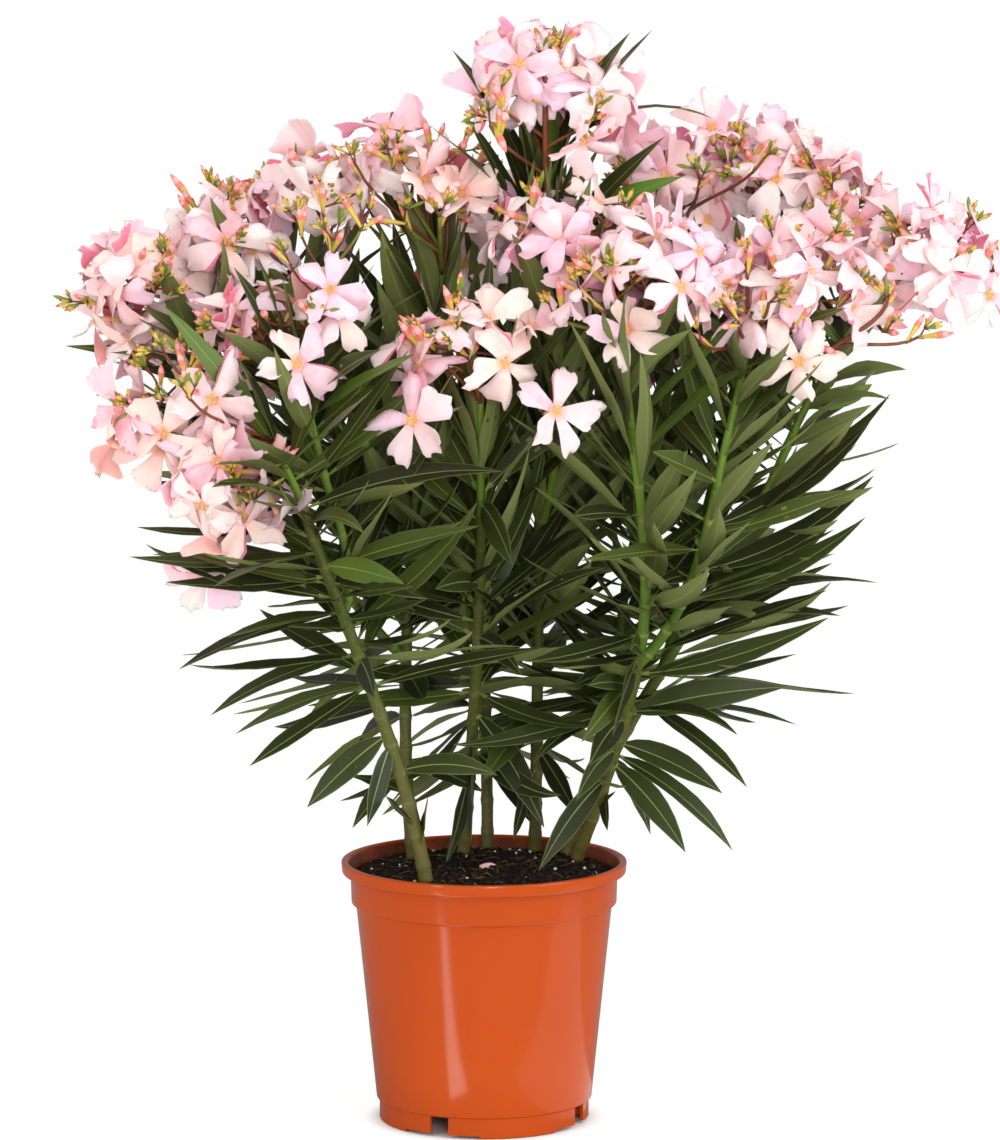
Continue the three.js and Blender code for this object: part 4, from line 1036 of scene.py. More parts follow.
MARGIN_SHARES = (0.62, 0.28, 0.10)  # of petals with no margin, a rosy edge, one rose-red side
# share of each tint, by family: the left of the plant is warmer and the right cooler
TINT_SHARES = {"front_left": (0.22, 0.22, 0.36, 0.14, 0.06), "middle": (0.0, 0.26, 0.46, 0.26, 0.02),
               "centre_tall": (0.12, 0.40, 0.08, 0.16, 0.24), "right": (0.16, 0.38, 0.06, 0.12, 0.28),
               "back_right": (0.20, 0.30, 0.02, 0.16, 0.32), "back_left": (0.22, 0.32, 0.16, 0.16, 0.14),
               "back": (0.28, 0.30, 0.12, 0.15, 0.15)}


def grid_faces(rows, columns):
    r, c = np.meshgrid(np.arange(rows - 1), np.arange(columns - 1), indexing="ij")
    a = r * columns + c
    return np.stack([a, a + 1, a + columns + 1, a + columns], -1).reshape(-1, 4)


def closed_sheet(rows, columns):
    """Faces of a thin closed sheet: a front grid and a back grid that share their border."""
    front = np.arange(rows * columns).reshape(rows, columns)
    back = front.copy()
    inner = rows * columns + np.arange((rows - 2) * (columns - 2)).reshape(rows - 2, columns - 2)
    back[1:-1, 1:-1] = inner
    front_faces = grid_faces(rows, columns)
    back_faces = back.ravel()[front_faces][:, ::-1]
    return front_faces, back_faces


def sheet_points(front, normals, thickness):
    """The points of closed sheets, one sheet a row: the whole front, then the inner back."""
    inner = front[:, 1:-1, 1:-1] - normals[:, 1:-1, 1:-1] * thickness
    count = len(front)
    return np.concatenate([front.reshape(count, -1, 3), inner.reshape(count, -1, 3)], 1)


def grid_normals(front):
    along = np.gradient(front, axis=1)
    aside = np.gradient(front, axis=2)
    return unit(np.cross(along, aside) + 1e-9)


def add_copies(skin, points, quads, slots):
    """Adds many copies of one layout of faces, a row of points each."""
    copies, each, _ = points.shape
    offsets = (np.arange(copies) * each)[:, None, None]
    skin.add(points.reshape(-1, 3), (quads[None] + offsets).reshape(-1, 4), slot=np.asarray(slots).ravel())


def axes_across(facing):
    """Two directions across a blossom's axis."""
    across = unit(np.cross((0.3, 1, 0.2), facing))
    return across, np.cross(facing, across)


def petal_sheets(blossoms, random):
    """The front grids of all the petals of these blossoms."""
    count = len(blossoms) * PETALS

    def of_blossom(key):
        return np.repeat(np.array([b[key] for b in blossoms], float), PETALS, axis=0)

    def pick(low, high):
        return random.uniform(low, high, count)[:, None, None]

    at, facing, radius = of_blossom("at"), of_blossom("facing"), of_blossom("radius")
    across, other = axes_across(facing)
    angle = of_blossom("spin") + np.tile(np.arange(PETALS) * 2 * np.pi / PETALS, len(blossoms))
    angle = angle + random.uniform(-0.16, 0.16, count)
    radial = across * np.cos(angle)[:, None] + other * np.sin(angle)[:, None]
    tangent = -across * np.sin(angle)[:, None] + other * np.cos(angle)[:, None]
    u, v = PETAL_U[None, :, None], PETAL_V[None, None, :]
    # a petal broadens from a narrow claw and ends blunt, with a slanted and slightly ragged edge
    broad = np.clip(u / pick(0.72, 0.92), 0, 1) ** 1.15
    blunt = pick(0.45, 0.90)
    closing = 1 - (1 - blunt) * np.clip((u - 0.70) / 0.30, 0, 1) ** 2
    width = (0.12 + 0.36 * broad) * closing * pick(0.74, 1.10)
    phase = pick(0, 2 * np.pi)
    slant, tip = pick(-0.06, 0.30), pick(0.0, 0.18)
    ragged = (0.045 * np.sin(6 * v + phase) + 0.020 * np.sin(15 * v + 2 * phase)) * u ** 5
    length = pick(0.92, 1.16)
    throat = MOUTH_RADIUS / BLOSSOM_RADIUS
    out = (1 - throat) * length * u * (1 + slant * v * u ** 2 - tip * np.abs(v) ** 1.8 * u ** 2) + ragged
    # it is cupped or reflexed, folded along its middle, and ruffled towards its edge
    cup, fold = pick(-0.42, 0.30), pick(-0.22, 0.42)
    aside = width * v * (1 - 0.5 * np.abs(cup) * broad) + pick(-0.04, 0.24) * u ** 2
    lift = -pick(-0.10, 0.62) * u ** 2.6 + cup * v ** 2 * broad + fold * v * broad
    lift = lift + 0.075 * np.sin(5 * v + 3 * u + phase) * u ** 2
    # a petal stands off the blossom's face: a little when full open, a lot when half open
    half_open = random.random(len(blossoms)) < HALF_OPEN_SHARE
    steep = random.uniform(0.55, 0.95, len(blossoms))
    level = random.uniform(0.05, 0.34, len(blossoms))
    stand = np.repeat(np.where(half_open, steep, level), PETALS)[:, None, None] + pick(-0.10, 0.10)
    out, lift = out * np.cos(stand) - lift * np.sin(stand), out * np.sin(stand) + lift * np.cos(stand)
    out = out + throat
    size = radius[:, None, None, None]
    return at[:, None, None] + size * (
        radial[:, None, None] * out[..., None]
        + tangent[:, None, None] * aside[..., None]
        + facing[:, None, None] * lift[..., None])


def lathe_copies(skin, blossoms, profile, sides, slots, twist=0.0):
    """Turned shapes about each blossom's axis. The profile is (distance ahead, radius)."""
    at = np.array([b["at"] for b in blossoms])
    facing = np.array([b["facing"] for b in blossoms])
    scale = np.array([b["radius"] for b in blossoms]) / BLOSSOM_RADIUS
    across, other = axes_across(facing)
    profile = np.array(profile, float)
    turns = np.linspace(0, 2 * np.pi, sides, endpoint=False)[None] + twist * np.arange(len(profile))[:, None]
    ahead, radius = profile[:, 0][:, None], profile[:, 1][:, None]
    local = np.stack([radius * np.cos(turns), radius * np.sin(turns), ahead + 0 * turns], -1)
    local = local[None] * scale[:, None, None, None]
    points = (
        at[:, None, None] + across[:, None, None] * local[..., :1]
        + other[:, None, None] * local[..., 1:2]
        + facing[:, None, None] * local[..., 2:])
    faces = lathe_faces(len(profile), sides).reshape(-1, 4)
    face_slots = np.repeat(slots, sides)
    add_copies(skin, points.reshape(len(blossoms), -1, 3), faces, np.tile(face_slots, len(blossoms)))


def add_spikes(skin, bases, tips, radii, sides, slot):
    """Slender closed cones from their bases to their tips."""
    bases, tips = np.asarray(bases, float), np.asarray(tips, float)
    ways = unit(tips - bases)
    across = unit(np.cross(ways, (0.31, 0.87, 0.38)))
    other = np.cross(ways, across)
    rings = bases[:, None] + np.asarray(radii)[:, None, None] * spokes_round(across, other, sides)
    points = np.concatenate([rings, tips[:, None], (bases - ways * 0.2)[:, None]], 1)
    around = np.arange(sides)
    after = (around + 1) % sides
    faces = np.concatenate([np.stack([around, after, np.full(sides, sides)], -1),
                            np.stack([after, around, np.full(sides, sides + 1)], -1)])
    offsets = (np.arange(len(bases)) * (sides + 2))[:, None, None]
    skin.add(points.reshape(-1, 3), tris=(faces[None] + offsets).reshape(-1, 3), slot=slot)


def petal_material(name, colour):
    """A thin silky petal that light soaks into."""
    material = finish_material(name, colour, grain=1500, rough=(0.5, 0.68), bump=0.06, depth=0.15,
                               specular=0.2)
    shader = material.node_tree.nodes["Principled BSDF"]
    shader.inputs["Subsurface Weight"].default_value = PETAL_GLOW
    shader.inputs["Subsurface Radius"].default_value = PETAL_GLOW_COLOUR
    shader.inputs["Subsurface Scale"].default_value = PETAL_GLOW_DEPTH * MM
    return material


GOLD_SLOT, PINK_SLOT, ROSE_SLOT, FIRST_TINT = 0, 1, 2, 3
BLOSSOM_MATERIALS = [petal_material("throat_gold", THROAT_GOLD), petal_material("throat_pink", THROAT_PINK),
                     petal_material("margin_rose", MARGIN_ROSE)]
for tint, colours in TINTS.items():
    for part, colour in zip(PARTS, colours):
        BLOSSOM_MATERIALS.append(petal_material(f"petal_{tint}_{part}", colour))
TUBE_SLOT = len(BLOSSOM_MATERIALS)
BLOSSOM_MATERIALS.append(petal_material("tube_yellow", TUBE_YELLOW))
BLOSSOM_MATERIALS.append(petal_material("tube_peach", TUBE_PEACH))
CALYX_SLOT = len(BLOSSOM_MATERIALS)
calyx_red = finish_material("calyx_red_brown", CALYX_RED, grain=1500, rough=(0.5, 0.65), bump=0.2)
BLOSSOM_MATERIALS.append(calyx_red)
FRONT_FACES, BACK_FACES = closed_sheet(len(PETAL_U), len(PETAL_V))
STRIPS = len(PETAL_V) - 1
FUNNEL = [(-20.6, 0.1), (-20, 1.35), (-14, 1.5), (-9, 2.0), (-4.5, 2.4), (-1, 2.8), (0.2, 2.9), (0.1, 2.5),
          (-0.6, 1.9), (-1.2, 1.3), (-1.0, 0.7), (-0.7, 0.05)]
FUNNEL_SLOTS = 3 * [TUBE_SLOT] + 2 * [TUBE_SLOT + 1] + 6 * [GOLD_SLOT]
ANTHER_CONE = [(-9, 0.1), (-8, 1.0), (-2, 1.1), (2.4, 0.15)]  # in the funnel's mouth
CROWN_TEETH = 10
TOOTH_RADIUS = 0.55
TOOTH_FOOT = (2.3, 0.6)  # of the fringe: out from the axis, behind the mouth
TOOTH_REACH = (2.0, 5.0)
TOOTH_LEAN = (1.0, 6.0)
LOBE_RADIUS = 0.95  # of the five lobes of the calyx
LOBE_SPREAD = (0.7, 2.7)  # out from the axis at their feet and at their tips
LOBE_LENGTH = 6.5
LOBE_FOOT = 1.5  # behind the end of the tube
FALLEN_PLACE = (-4, -16)  # one petal lies on the compost
FALLEN_REST = 2.5  # its root is this far above the compost


def petal_slots(tint, margin):
    """Slots of a petal's strips: streaked at the throat, a paler blade, and its margin."""
    inner, soft, blade, edge = (FIRST_TINT + len(PARTS) * tint + part for part in range(4))
    rows = np.full((len(PETAL_U) - 1, STRIPS), blade)
    rows[0] = [PINK_SLOT, GOLD_SLOT, PINK_SLOT, GOLD_SLOT, GOLD_SLOT, PINK_SLOT, GOLD_SLOT, PINK_SLOT]
    rows[1] = inner
    rows[2] = soft
    rows[3, 2:-2] = soft
    if margin == 1:
        rows[3:, 0] = edge
        rows[-1] = edge
    if margin == 2:
        rows[2:, -1] = ROSE_SLOT
    return rows.ravel()


for index, family in enumerate(FAMILIES):
    random = np.random.default_rng(300 + index)
    blossoms = [b for top in tops if top.limb.family == family for group in top.blossoms for b in group]
    tints = random.choice(len(TINTS), len(blossoms), p=TINT_SHARES[family])
    skin = Skin()
    front = petal_sheets(blossoms, random)
    points = sheet_points(front, grid_normals(front), PETAL_THICKNESS)
    petal_tints = np.repeat(tints, PETALS)
    strays = random.random(len(petal_tints)) < STRAY_TINTS
    own_tints = random.choice(len(TINTS), len(petal_tints), p=TINT_SHARES[family])
    petal_tints = np.where(strays, own_tints, petal_tints)
    margins = random.choice(3, len(petal_tints), p=MARGIN_SHARES)
    front_slots = np.array([petal_slots(tint, margin) for tint, margin in zip(petal_tints, margins)])
    back = PARTS.index("back")
    back_slots = np.broadcast_to(FIRST_TINT + len(PARTS) * petal_tints[:, None] + back, front_slots.shape)
    add_copies(skin, points, np.concatenate([FRONT_FACES, BACK_FACES]),
               np.concatenate([front_slots, back_slots], 1))
    if family == "middle":
        at = (*FALLEN_PLACE, soil_height(*FALLEN_PLACE) + FALLEN_REST)
        fallen = [{"at": at, "facing": (0.1, -0.25, 1), "radius": 11, "spin": 0.4}]
        front = petal_sheets(fallen, random)[:1]
        points = sheet_points(front, grid_normals(front), PETAL_THICKNESS)
        add_copies(skin, points, np.concatenate([FRONT_FACES, BACK_FACES]),
                   np.concatenate([front_slots[:1], back_slots[:1]], 1))
    lathe_copies(skin, blossoms, FUNNEL, 10, FUNNEL_SLOTS)
    lathe_copies(skin, blossoms, ANTHER_CONE, 5, [TUBE_SLOT] * (len(ANTHER_CONE) - 1), twist=0.5)
    for blossom, tint in zip(blossoms, tints):
        at, facing, scale = blossom["at"], blossom["facing"], blossom["radius"] / BLOSSOM_RADIUS
        across, other = axes_across(facing)
        turns = blossom["spin"] + np.arange(CROWN_TEETH) * 2 * np.pi / CROWN_TEETH
        spokes = across * np.cos(turns)[:, None] + other * np.sin(turns)[:, None]
        reach = random.uniform(*TOOTH_REACH, CROWN_TEETH)[:, None]
        lean = random.uniform(*TOOTH_LEAN, CROWN_TEETH)[:, None]
        teeth = at + spokes * TOOTH_FOOT[0] * scale - facing * TOOTH_FOOT[1]
        tips = at + (spokes * lean + facing * reach) * scale
        add_spikes(skin, teeth, tips, np.full(CROWN_TEETH, TOOTH_RADIUS), 3, FIRST_TINT + len(PARTS) * tint)
        lobes = spokes[::2]
        foot = at - facing * (TUBE_LENGTH + LOBE_FOOT) * scale
        tips = foot + (lobes * LOBE_SPREAD[1] + facing * LOBE_LENGTH) * scale
        add_spikes(skin, foot + lobes * LOBE_SPREAD[0], tips, np.full(len(lobes), LOBE_RADIUS), 4, CALYX_SLOT)
    blossom_piece = skin.piece("blossom_" + family, BLOSSOM_MATERIALS, sharp_over=60)
    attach(blossom_piece, "root")
    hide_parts(*[top.name for top in tops if top.limb.family == family])

# ------------------------------------------------------------------ buds
# Closed buds stand among the blossoms: long coral spindles about to open, and tufts of small
# green and orange ones, all on red-brown stalks.
BUD_PROFILE = [(0, 0.05), (0.02, 0.42), (0.18, 0.5), (0.36, 0.66), (0.55, 1.0), (0.72, 0.92), (0.87, 0.55),
               (0.97, 0.2), (1.0, 0.03)]
SMALL_BUDS = (4, 7)  # in a tuft: from this many to one fewer than that
SMALL_LENGTHS = (6, 13)
LARGE_BUDS = (1, 3)  # on a spray, counted in the same way
LARGE_LENGTHS = (17, 30)
SPRAYS = 6
SPRAY_RADIUS = 0.9
SPRIGS = 3  # side stalks at the end of a bud stalk, each with its own tuft
BUD_COLOURS = {"green": paint(122, 140, 48), "yellow": paint(208, 180, 78), "coral": paint(230, 130, 112),
               "rose": paint(240, 172, 168), "orange": paint(186, 106, 56)}
BUD_MATERIALS = [finish_material("bud_" + name, colour, grain=1500, rough=(0.4, 0.55), bump=0.1)
                 for name, colour in BUD_COLOURS.items()]
BRACT_SLOT = len(BUD_MATERIALS)
bract_brown = finish_material("bract_brown", paint(120, 66, 40), grain=1500, rough=(0.5, 0.65), bump=0.2)
BUD_MATERIALS.append(bract_brown)
# a bud's materials from its foot to its tip: one row for long buds, three kinds of small ones
LARGE_SLOTS = [0, 1, 1, 1, 2, 3, 2, 2]
SMALL_SLOTS = ([0, 0, 0, 0, 0, 0, 0, 0], [0, 0, 0, 0, 1, 1, 4, 4], [0, 0, 1, 1, 1, 4, 4, 4])


def add_bud(skin, foot, way, length, radius, sides, slots, curve):
    """One spindle. Its skin is wound in a slight spiral, and it bends a little."""
    profile = np.array(BUD_PROFILE)
    way = unit(way)
    bow = np.cross(way, (0.2, 0.5, 0.84))
    centres = foot + np.outer(profile[:, 0] * length, way) + np.outer(profile[:, 0] ** 2, bow * curve)
    across = unit(np.cross((0.13, 0.9, 0.4), way))
    other = np.cross(way, across)
    turns = np.linspace(0, 2 * np.pi, sides, endpoint=False)[None] + 1.3 * profile[:, :1]
    radii = profile[:, 1:] * radius
    points = centres[:, None] + radii[..., None] * (across * np.cos(turns)[..., None]
                                                    + other * np.sin(turns)[..., None])
    faces = lathe_faces(len(profile), sides).reshape(-1, 4)
    skin.add(points.reshape(-1, 3), faces, slot=np.repeat(slots, sides))


def add_tuft(skin, at, way, random):
    """A tuft of small buds round the end of a stalk, each in its bract."""
    way = unit(way)
    for _ in range(random.integers(*SMALL_BUDS)):
        spread = unit(way + random.normal(0, 0.38, 3))
        length = random.uniform(*SMALL_LENGTHS)
        foot = at + spread * 1.5
        slots = SMALL_SLOTS[random.integers(3)] if random.random() < 0.9 else LARGE_SLOTS
        add_bud(skin, foot, spread, length, length * random.uniform(0.11, 0.14), 6, slots, 0.4)
        bract = foot + unit(spread + random.normal(0, 0.3, 3)) * 3.6
        add_spikes(skin, [foot - spread], [bract], [0.8], 3, BRACT_SLOT)


def add_spray(skin, stalk_skin, line, radius, tufts, random, stalk_slot=0):
    """A bud stalk with tufts on side stalks at its end, and one or two long buds about to open."""
    s = np.linspace(0, 1, 8)
    add_tube(stalk_skin, line.at(s), line.way(s), np.linspace(radius * 1.2, radius * 0.85, 8), 6, stalk_slot)
    for _ in range(tufts):
        way = unit(line.way(1.0) + random.normal(0, 0.45, 3))
        tip = line.at(1.0) + way * random.uniform(5, 12)
        ends = np.array([line.at(1.0) - way, tip])
        add_tube(stalk_skin, ends, np.array([way, way]), np.array([0.75, 0.6]), 5)
        add_tuft(skin, tip, way, random)
    for _ in range(random.integers(*LARGE_BUDS)):
        foot = line.at(random.uniform(0.7, 1.0))
        way = unit(line.way(1.0) + random.normal(0, 0.4, 3))
        length = random.uniform(*LARGE_LENGTHS)
        add_bud(skin, foot, way, length, length * 0.085 + 0.35, 8, LARGE_SLOTS, length * 0.05)
        tips = [foot + unit(way + random.normal(0, 0.25, 3)) * 5 for _ in range(3)]
        add_spikes(skin, [foot - way] * 3, tips, [1.1] * 3, 4, BRACT_SLOT)


# Bud stalks that stand clear at the front, given one by one: top, start (or None for its hub), end,
# radius, how many tufts, and 0 for a red-brown or 1 for a green stalk.
FRONT_SPRAYS = [
    ("top_crown", (41, 24, 600), (40, -10, 703), 2.0, 3, 0),
    ("top_crown", (41, 6, 652), (10, -14, 678), 1.2, 2, 0),
    ("top_crown", (41, 6, 646), (70, -8, 668), 1.2, 2, 0),
    ("top_crown", (41, 14, 626), (4, -8, 662), 1.2, 1, 0),
    ("top_left_centre", None, (-97, -50, 590), 1.5, 2, 1),
    ("top_left_centre", (-100, -48, 560), (-120, -48, 600), 0.9, 2, 0),
    ("top_left_centre", (-98, -49, 574), (-104, -52, 612), 0.9, 2, 0),
    ("top_left_centre", (-98, -49, 570), (-78, -52, 602), 0.9, 2, 1),
    ("top_left_centre", (-103, -48, 548), (-126, -60, 578), 0.9, 1, 0),
    ("top_left_inner", None, (-29, -6, 602), 1.5, 3, 1),
    ("top_left_inner", (-28, 28, 574), (-52, -4, 600), 1.0, 2, 1),
    ("top_left_inner", (-28, 34, 575), (-62, 4, 642), 1.1, 3, 1),
    ("top_left_inner", (-28, 34, 575), (-84, 2, 636), 1.1, 2, 0),
    ("top_middle", None, (-36, -68, 530), 1.1, 2, 0),
    ("top_middle", None, (-20, -56, 548), 1.1, 1, 0),
    ("top_right_inner", None, (80, -72, 566), 2.0, 3, 1),
    ("top_right_inner", (84, -64, 545), (62, -74, 560), 1.1, 2, 1),
    ("top_right_inner", (83, -66, 550), (98, -74, 568), 1.1, 3, 1),
    ("top_right_inner", None, (44, -66, 546), 1.3, 1, 1),
    ("top_right_outer", None, (164, -80, 541), 1.3, 2, 0),
    ("top_right_outer", None, (170, -64, 578), 1.3, 2, 0),
    ("top_right_outer", None, (184, -72, 552), 1.3, 3, 0),
    ("top_right_outer", None, (202, -64, 538), 1.1, 1, 0),
    ("top_right_outer", None, (188, -54, 590), 1.3, 3, 0),
    ("top_right_outer", None, (238, -34, 553), 1.1, 2, 0),
    ("top_right_outer", None, (140, -84, 528), 1.2, 1, 0),
    ("top_right_back", (134, 50, 596), (141, -8, 626), 1.2, 3, 0),
    ("top_right_back", (134, 50, 600), (184, 8, 640), 1.1, 1, 0),
    ("top_upper_right", None, (220, -16, 602), 1.2, 3, 0),
    ("top_left_low", None, (-204, -92, 520), 1.1, 3, 0),
    ("top_left_low", None, (-188, -108, 494), 1.1, 2, 0),
    ("top_far_right", None, (308, -4, 566), 1.1, 2, 0),
    ("top_far_right", None, (262, -40, 530), 1.3, 1, 0),
    ("top_right_outer", (222, -40, 515), (262, -40, 548), 1.6, 2, 0),
    ("top_right_outer", (228, -40, 520), (284, -38, 527), 1.1, 1, 0),
]

for index, family in enumerate(FAMILIES):
    random = np.random.default_rng(700 + index)
    skin = Skin()
    stalk_skin = Skin()
    for top in (t for t in tops if t.limb.family == family):
        for branches, cluster in zip(top.branches, top.clusters):
            middle, size = np.array(cluster[0], float), np.array(cluster[1], float)
            for branch in branches:
                add_tuft(skin, branch.at(1.0), branch.way(1.0), random)
            for spray in range(SPRAYS):
                out = unit(random.normal(0, 1, 3) * (1, 1, 0.6) + (0, -0.5, 0.7))
                branch = branches[spray % len(branches)]
                share = random.uniform(0.45, 0.95)
                end = middle + out * size * random.uniform(0.75, 1.0)
                line = Line(branch.at(share), end, branch.way(share) + out * 0.4, out + (0, 0, 0.4))
                add_spray(skin, stalk_skin, line, SPRAY_RADIUS, SPRIGS if spray % 2 == 0 else 0, random)
        for name, start, end, radius, tufts, stalk_slot in FRONT_SPRAYS:
            if name == top.name:
                start = np.array(start or top.hub, float)
                rise = np.array(end) - start
                line = Line(start, end, rise + (0, 0, 8), rise * (0.6, 0.4, 1) + (0, 0, 14))
                add_spray(skin, stalk_skin, line, radius, tufts, random, stalk_slot)
    names = [top.name for top in tops if top.limb.family == family]
    buds = skin.piece("buds_" + family, BUD_MATERIALS)
    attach(buds, "root")
    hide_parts(*names)
    stalks = stalk_skin.piece("bud_stalks_" + family, [stalk_brown, stalk_green])
    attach(stalks, "root")
    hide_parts(*names)

# ------------------------------------------------------------------ leaves
# Long narrow leathery leaves stand in rings of three along every stem, each ring turned half a
# gap against the last. They are folded along a pale midrib, dark above and duller below.
SIDE_MASSES = {  # the leafy solids that these leaves stand for, by the limb they grow on
    "cane_front_left": ("leaves_front_left_foot", "leaves_front_left_outer", "leaves_front_left_inner"),
    "cane_middle": ("leaves_middle_low", "leaves_middle_high"),
    "cane_centre_tall": ("leaves_centre_low", "leaves_centre_high"),
    "cane_right": ("leaves_right_low",),
    "bough_right_inner": ("leaves_right_inner",),
    "bough_right_outer": ("leaves_right_outer",),
    "cane_back_right": ("leaves_back_right_low",),
    "bough_far_right": ("leaves_far_right",),
    "bough_upper_right": ("leaves_upper_right",),
    "cane_back_left": ("leaves_back_left_low",),
    "bough_far_left": ("leaves_far_left",),
    "bough_upper_left": ("leaves_upper_left",),
    "bough_left_centre": ("leaves_left_centre",),
    "cane_back": ("leaves_back_low",),
    "bough_back_left": ("leaves_back_mid_left",),
    "bough_back_right": ("leaves_back_mid_right",),
}
LEAF_LENGTH = 118
LEAF_WIDTH = 16.5
MARGIN_WIDTH = 0.55
LEAVES_START = 212  # height of the lowest ring of leaves
LATER_START = {"cane_front_left": 288, "cane_right": 272, "cane_middle": 226, "cane_centre_tall": 222,
               "cane_back_left": 244, "cane_back_right": 256, "cane_back": 234}
LEAF_RISE = ((215, -42), (285, -12), (360, 4), (450, 22), (540, 46), (640, 66))  # height, degrees
WHORL_LEAVES = 3
SHOOT_WHORL_GAP = 17
BETWEEN_SHARE = 0.5  # of the leaves that stand half way between two rings
BETWEEN_LATER = 20  # how much higher than the rings these start
LIMB_SCALES = (1.0, 0.9)  # size of the leaves in rings on canes and boughs, and between the rings
SHOOT_SCALES = (0.92, 0.84)
ALONG_RULE, BY_HAND = 1.0, 0.15  # how far leaves stray from their given lie
LOW_LEAVES = (260, 0.82)  # under this height leaves are that much of the usual length
RIGHT_SIDE = 122  # beyond it, leaves that point right are shorter
RIGHT_SHORTER = 0.0052  # for each millimetre beyond it, up to RIGHT_MOST
RIGHT_MOST = 80.0
RISE_INWARD, RISE_SUNWARD, RISE_CENTRAL, RISE_SPREAD = 22, 12, 33, 8  # degrees above the rule
SUNWARD_TOP = (480, 120)  # height where the rise of the right side ends, and how gradually
CENTRAL_PLACE = (25, 135)  # where across the plant leaves stand steepest, and how wide
CENTRAL_START = (260, 90)  # height where they start to, and how gradually
TURNED_AWAY = 0.16  # share of the leaves that turn their face from the light
LEAF_HOOK = (-0.32, 0.46)
LEAF_SWAY = 0.17
LEAF_TWIST = 0.6
LEAF_FOLD = (0.12, 0.58)
LEAF_WAVES = (11, 0.9)  # how close together the waves of the edge are, and how high
LEAF_STALK = 0.035  # of the length
STALK_HALF_WIDTH, TIP_HALF_WIDTH = 1.0, 0.12
ARCH_BEND = -1.45  # bend of a listed leaf, for its arch
LEAF_STATIONS = np.array([0.0, 0.025, 0.07, 0.15, 0.25, 0.36, 0.48, 0.6, 0.72, 0.84, 0.94, 1.0])
LEAF_THICKNESS = 0.5
LEAF_COLUMNS = 6
RIB_WIDTH = 0.55
LEAF_TINTS = [paint(42, 47, 21), paint(54, 61, 26), paint(72, 82, 32), paint(84, 108, 34), paint(90, 132, 42)]
OLD_HEIGHT, YOUNG_HEIGHT = 280, 540  # leaves turn from old dark ones to young fresh ones
PLANT_AXIS = (0, 25)


def rise_at(height):
    return np.interp(height, [h for h, _ in LEAF_RISE], [a for _, a in LEAF_RISE])


def leaf_rings(line, radius_at, runs, draw, ceiling=None, scale=1.0, start=LEAVES_START):
    """Leaves in rings of three where runs says, with the draws of the plant's leaf rule. None
    starts lower than start, or reaches higher than the ceiling."""
    leaves = []
    for w, run in enumerate(runs):
        t = float(line.even(run / line.length))
        middle = line.at(t)
        for j in range(WHORL_LEAVES):
            azimuth = math.radians(60 * w + 120 * j + draw(-18, 18))
            rise = math.radians(rise_at(middle[2]) + draw(-9, 9))
            shorter = LOW_LEAVES[1] if middle[2] < LOW_LEAVES[0] else 1
            length = LEAF_LENGTH * draw(0.82, 1.12) * shorter * scale
            bend = math.radians(draw(-16, 14))
            roll = math.radians(draw(-28, 28))
            width = LEAF_WIDTH * draw(0.85, 1.1)
            if middle[2] < start:
                continue
            if ceiling is not None:
                room = (ceiling - middle[2]) / max(0.2, math.sin(rise))
                if room < length * 0.5:
                    continue
                length = min(length, room)
            way = np.array([math.cos(azimuth) * math.cos(rise), math.sin(azimuth) * math.cos(rise),
                            math.sin(rise)])
            level = np.array([math.cos(azimuth), math.sin(azimuth), 0])
            beyond = max(0.0, middle[0] - RIGHT_SIDE) * max(0.0, way[0])
            length = length * (1 - RIGHT_SHORTER * min(RIGHT_MOST, beyond))
            root = middle + level * float(radius_at(t)) * 0.8
            leaves.append((*root, *way, length, width, bend, roll))
    return leaves
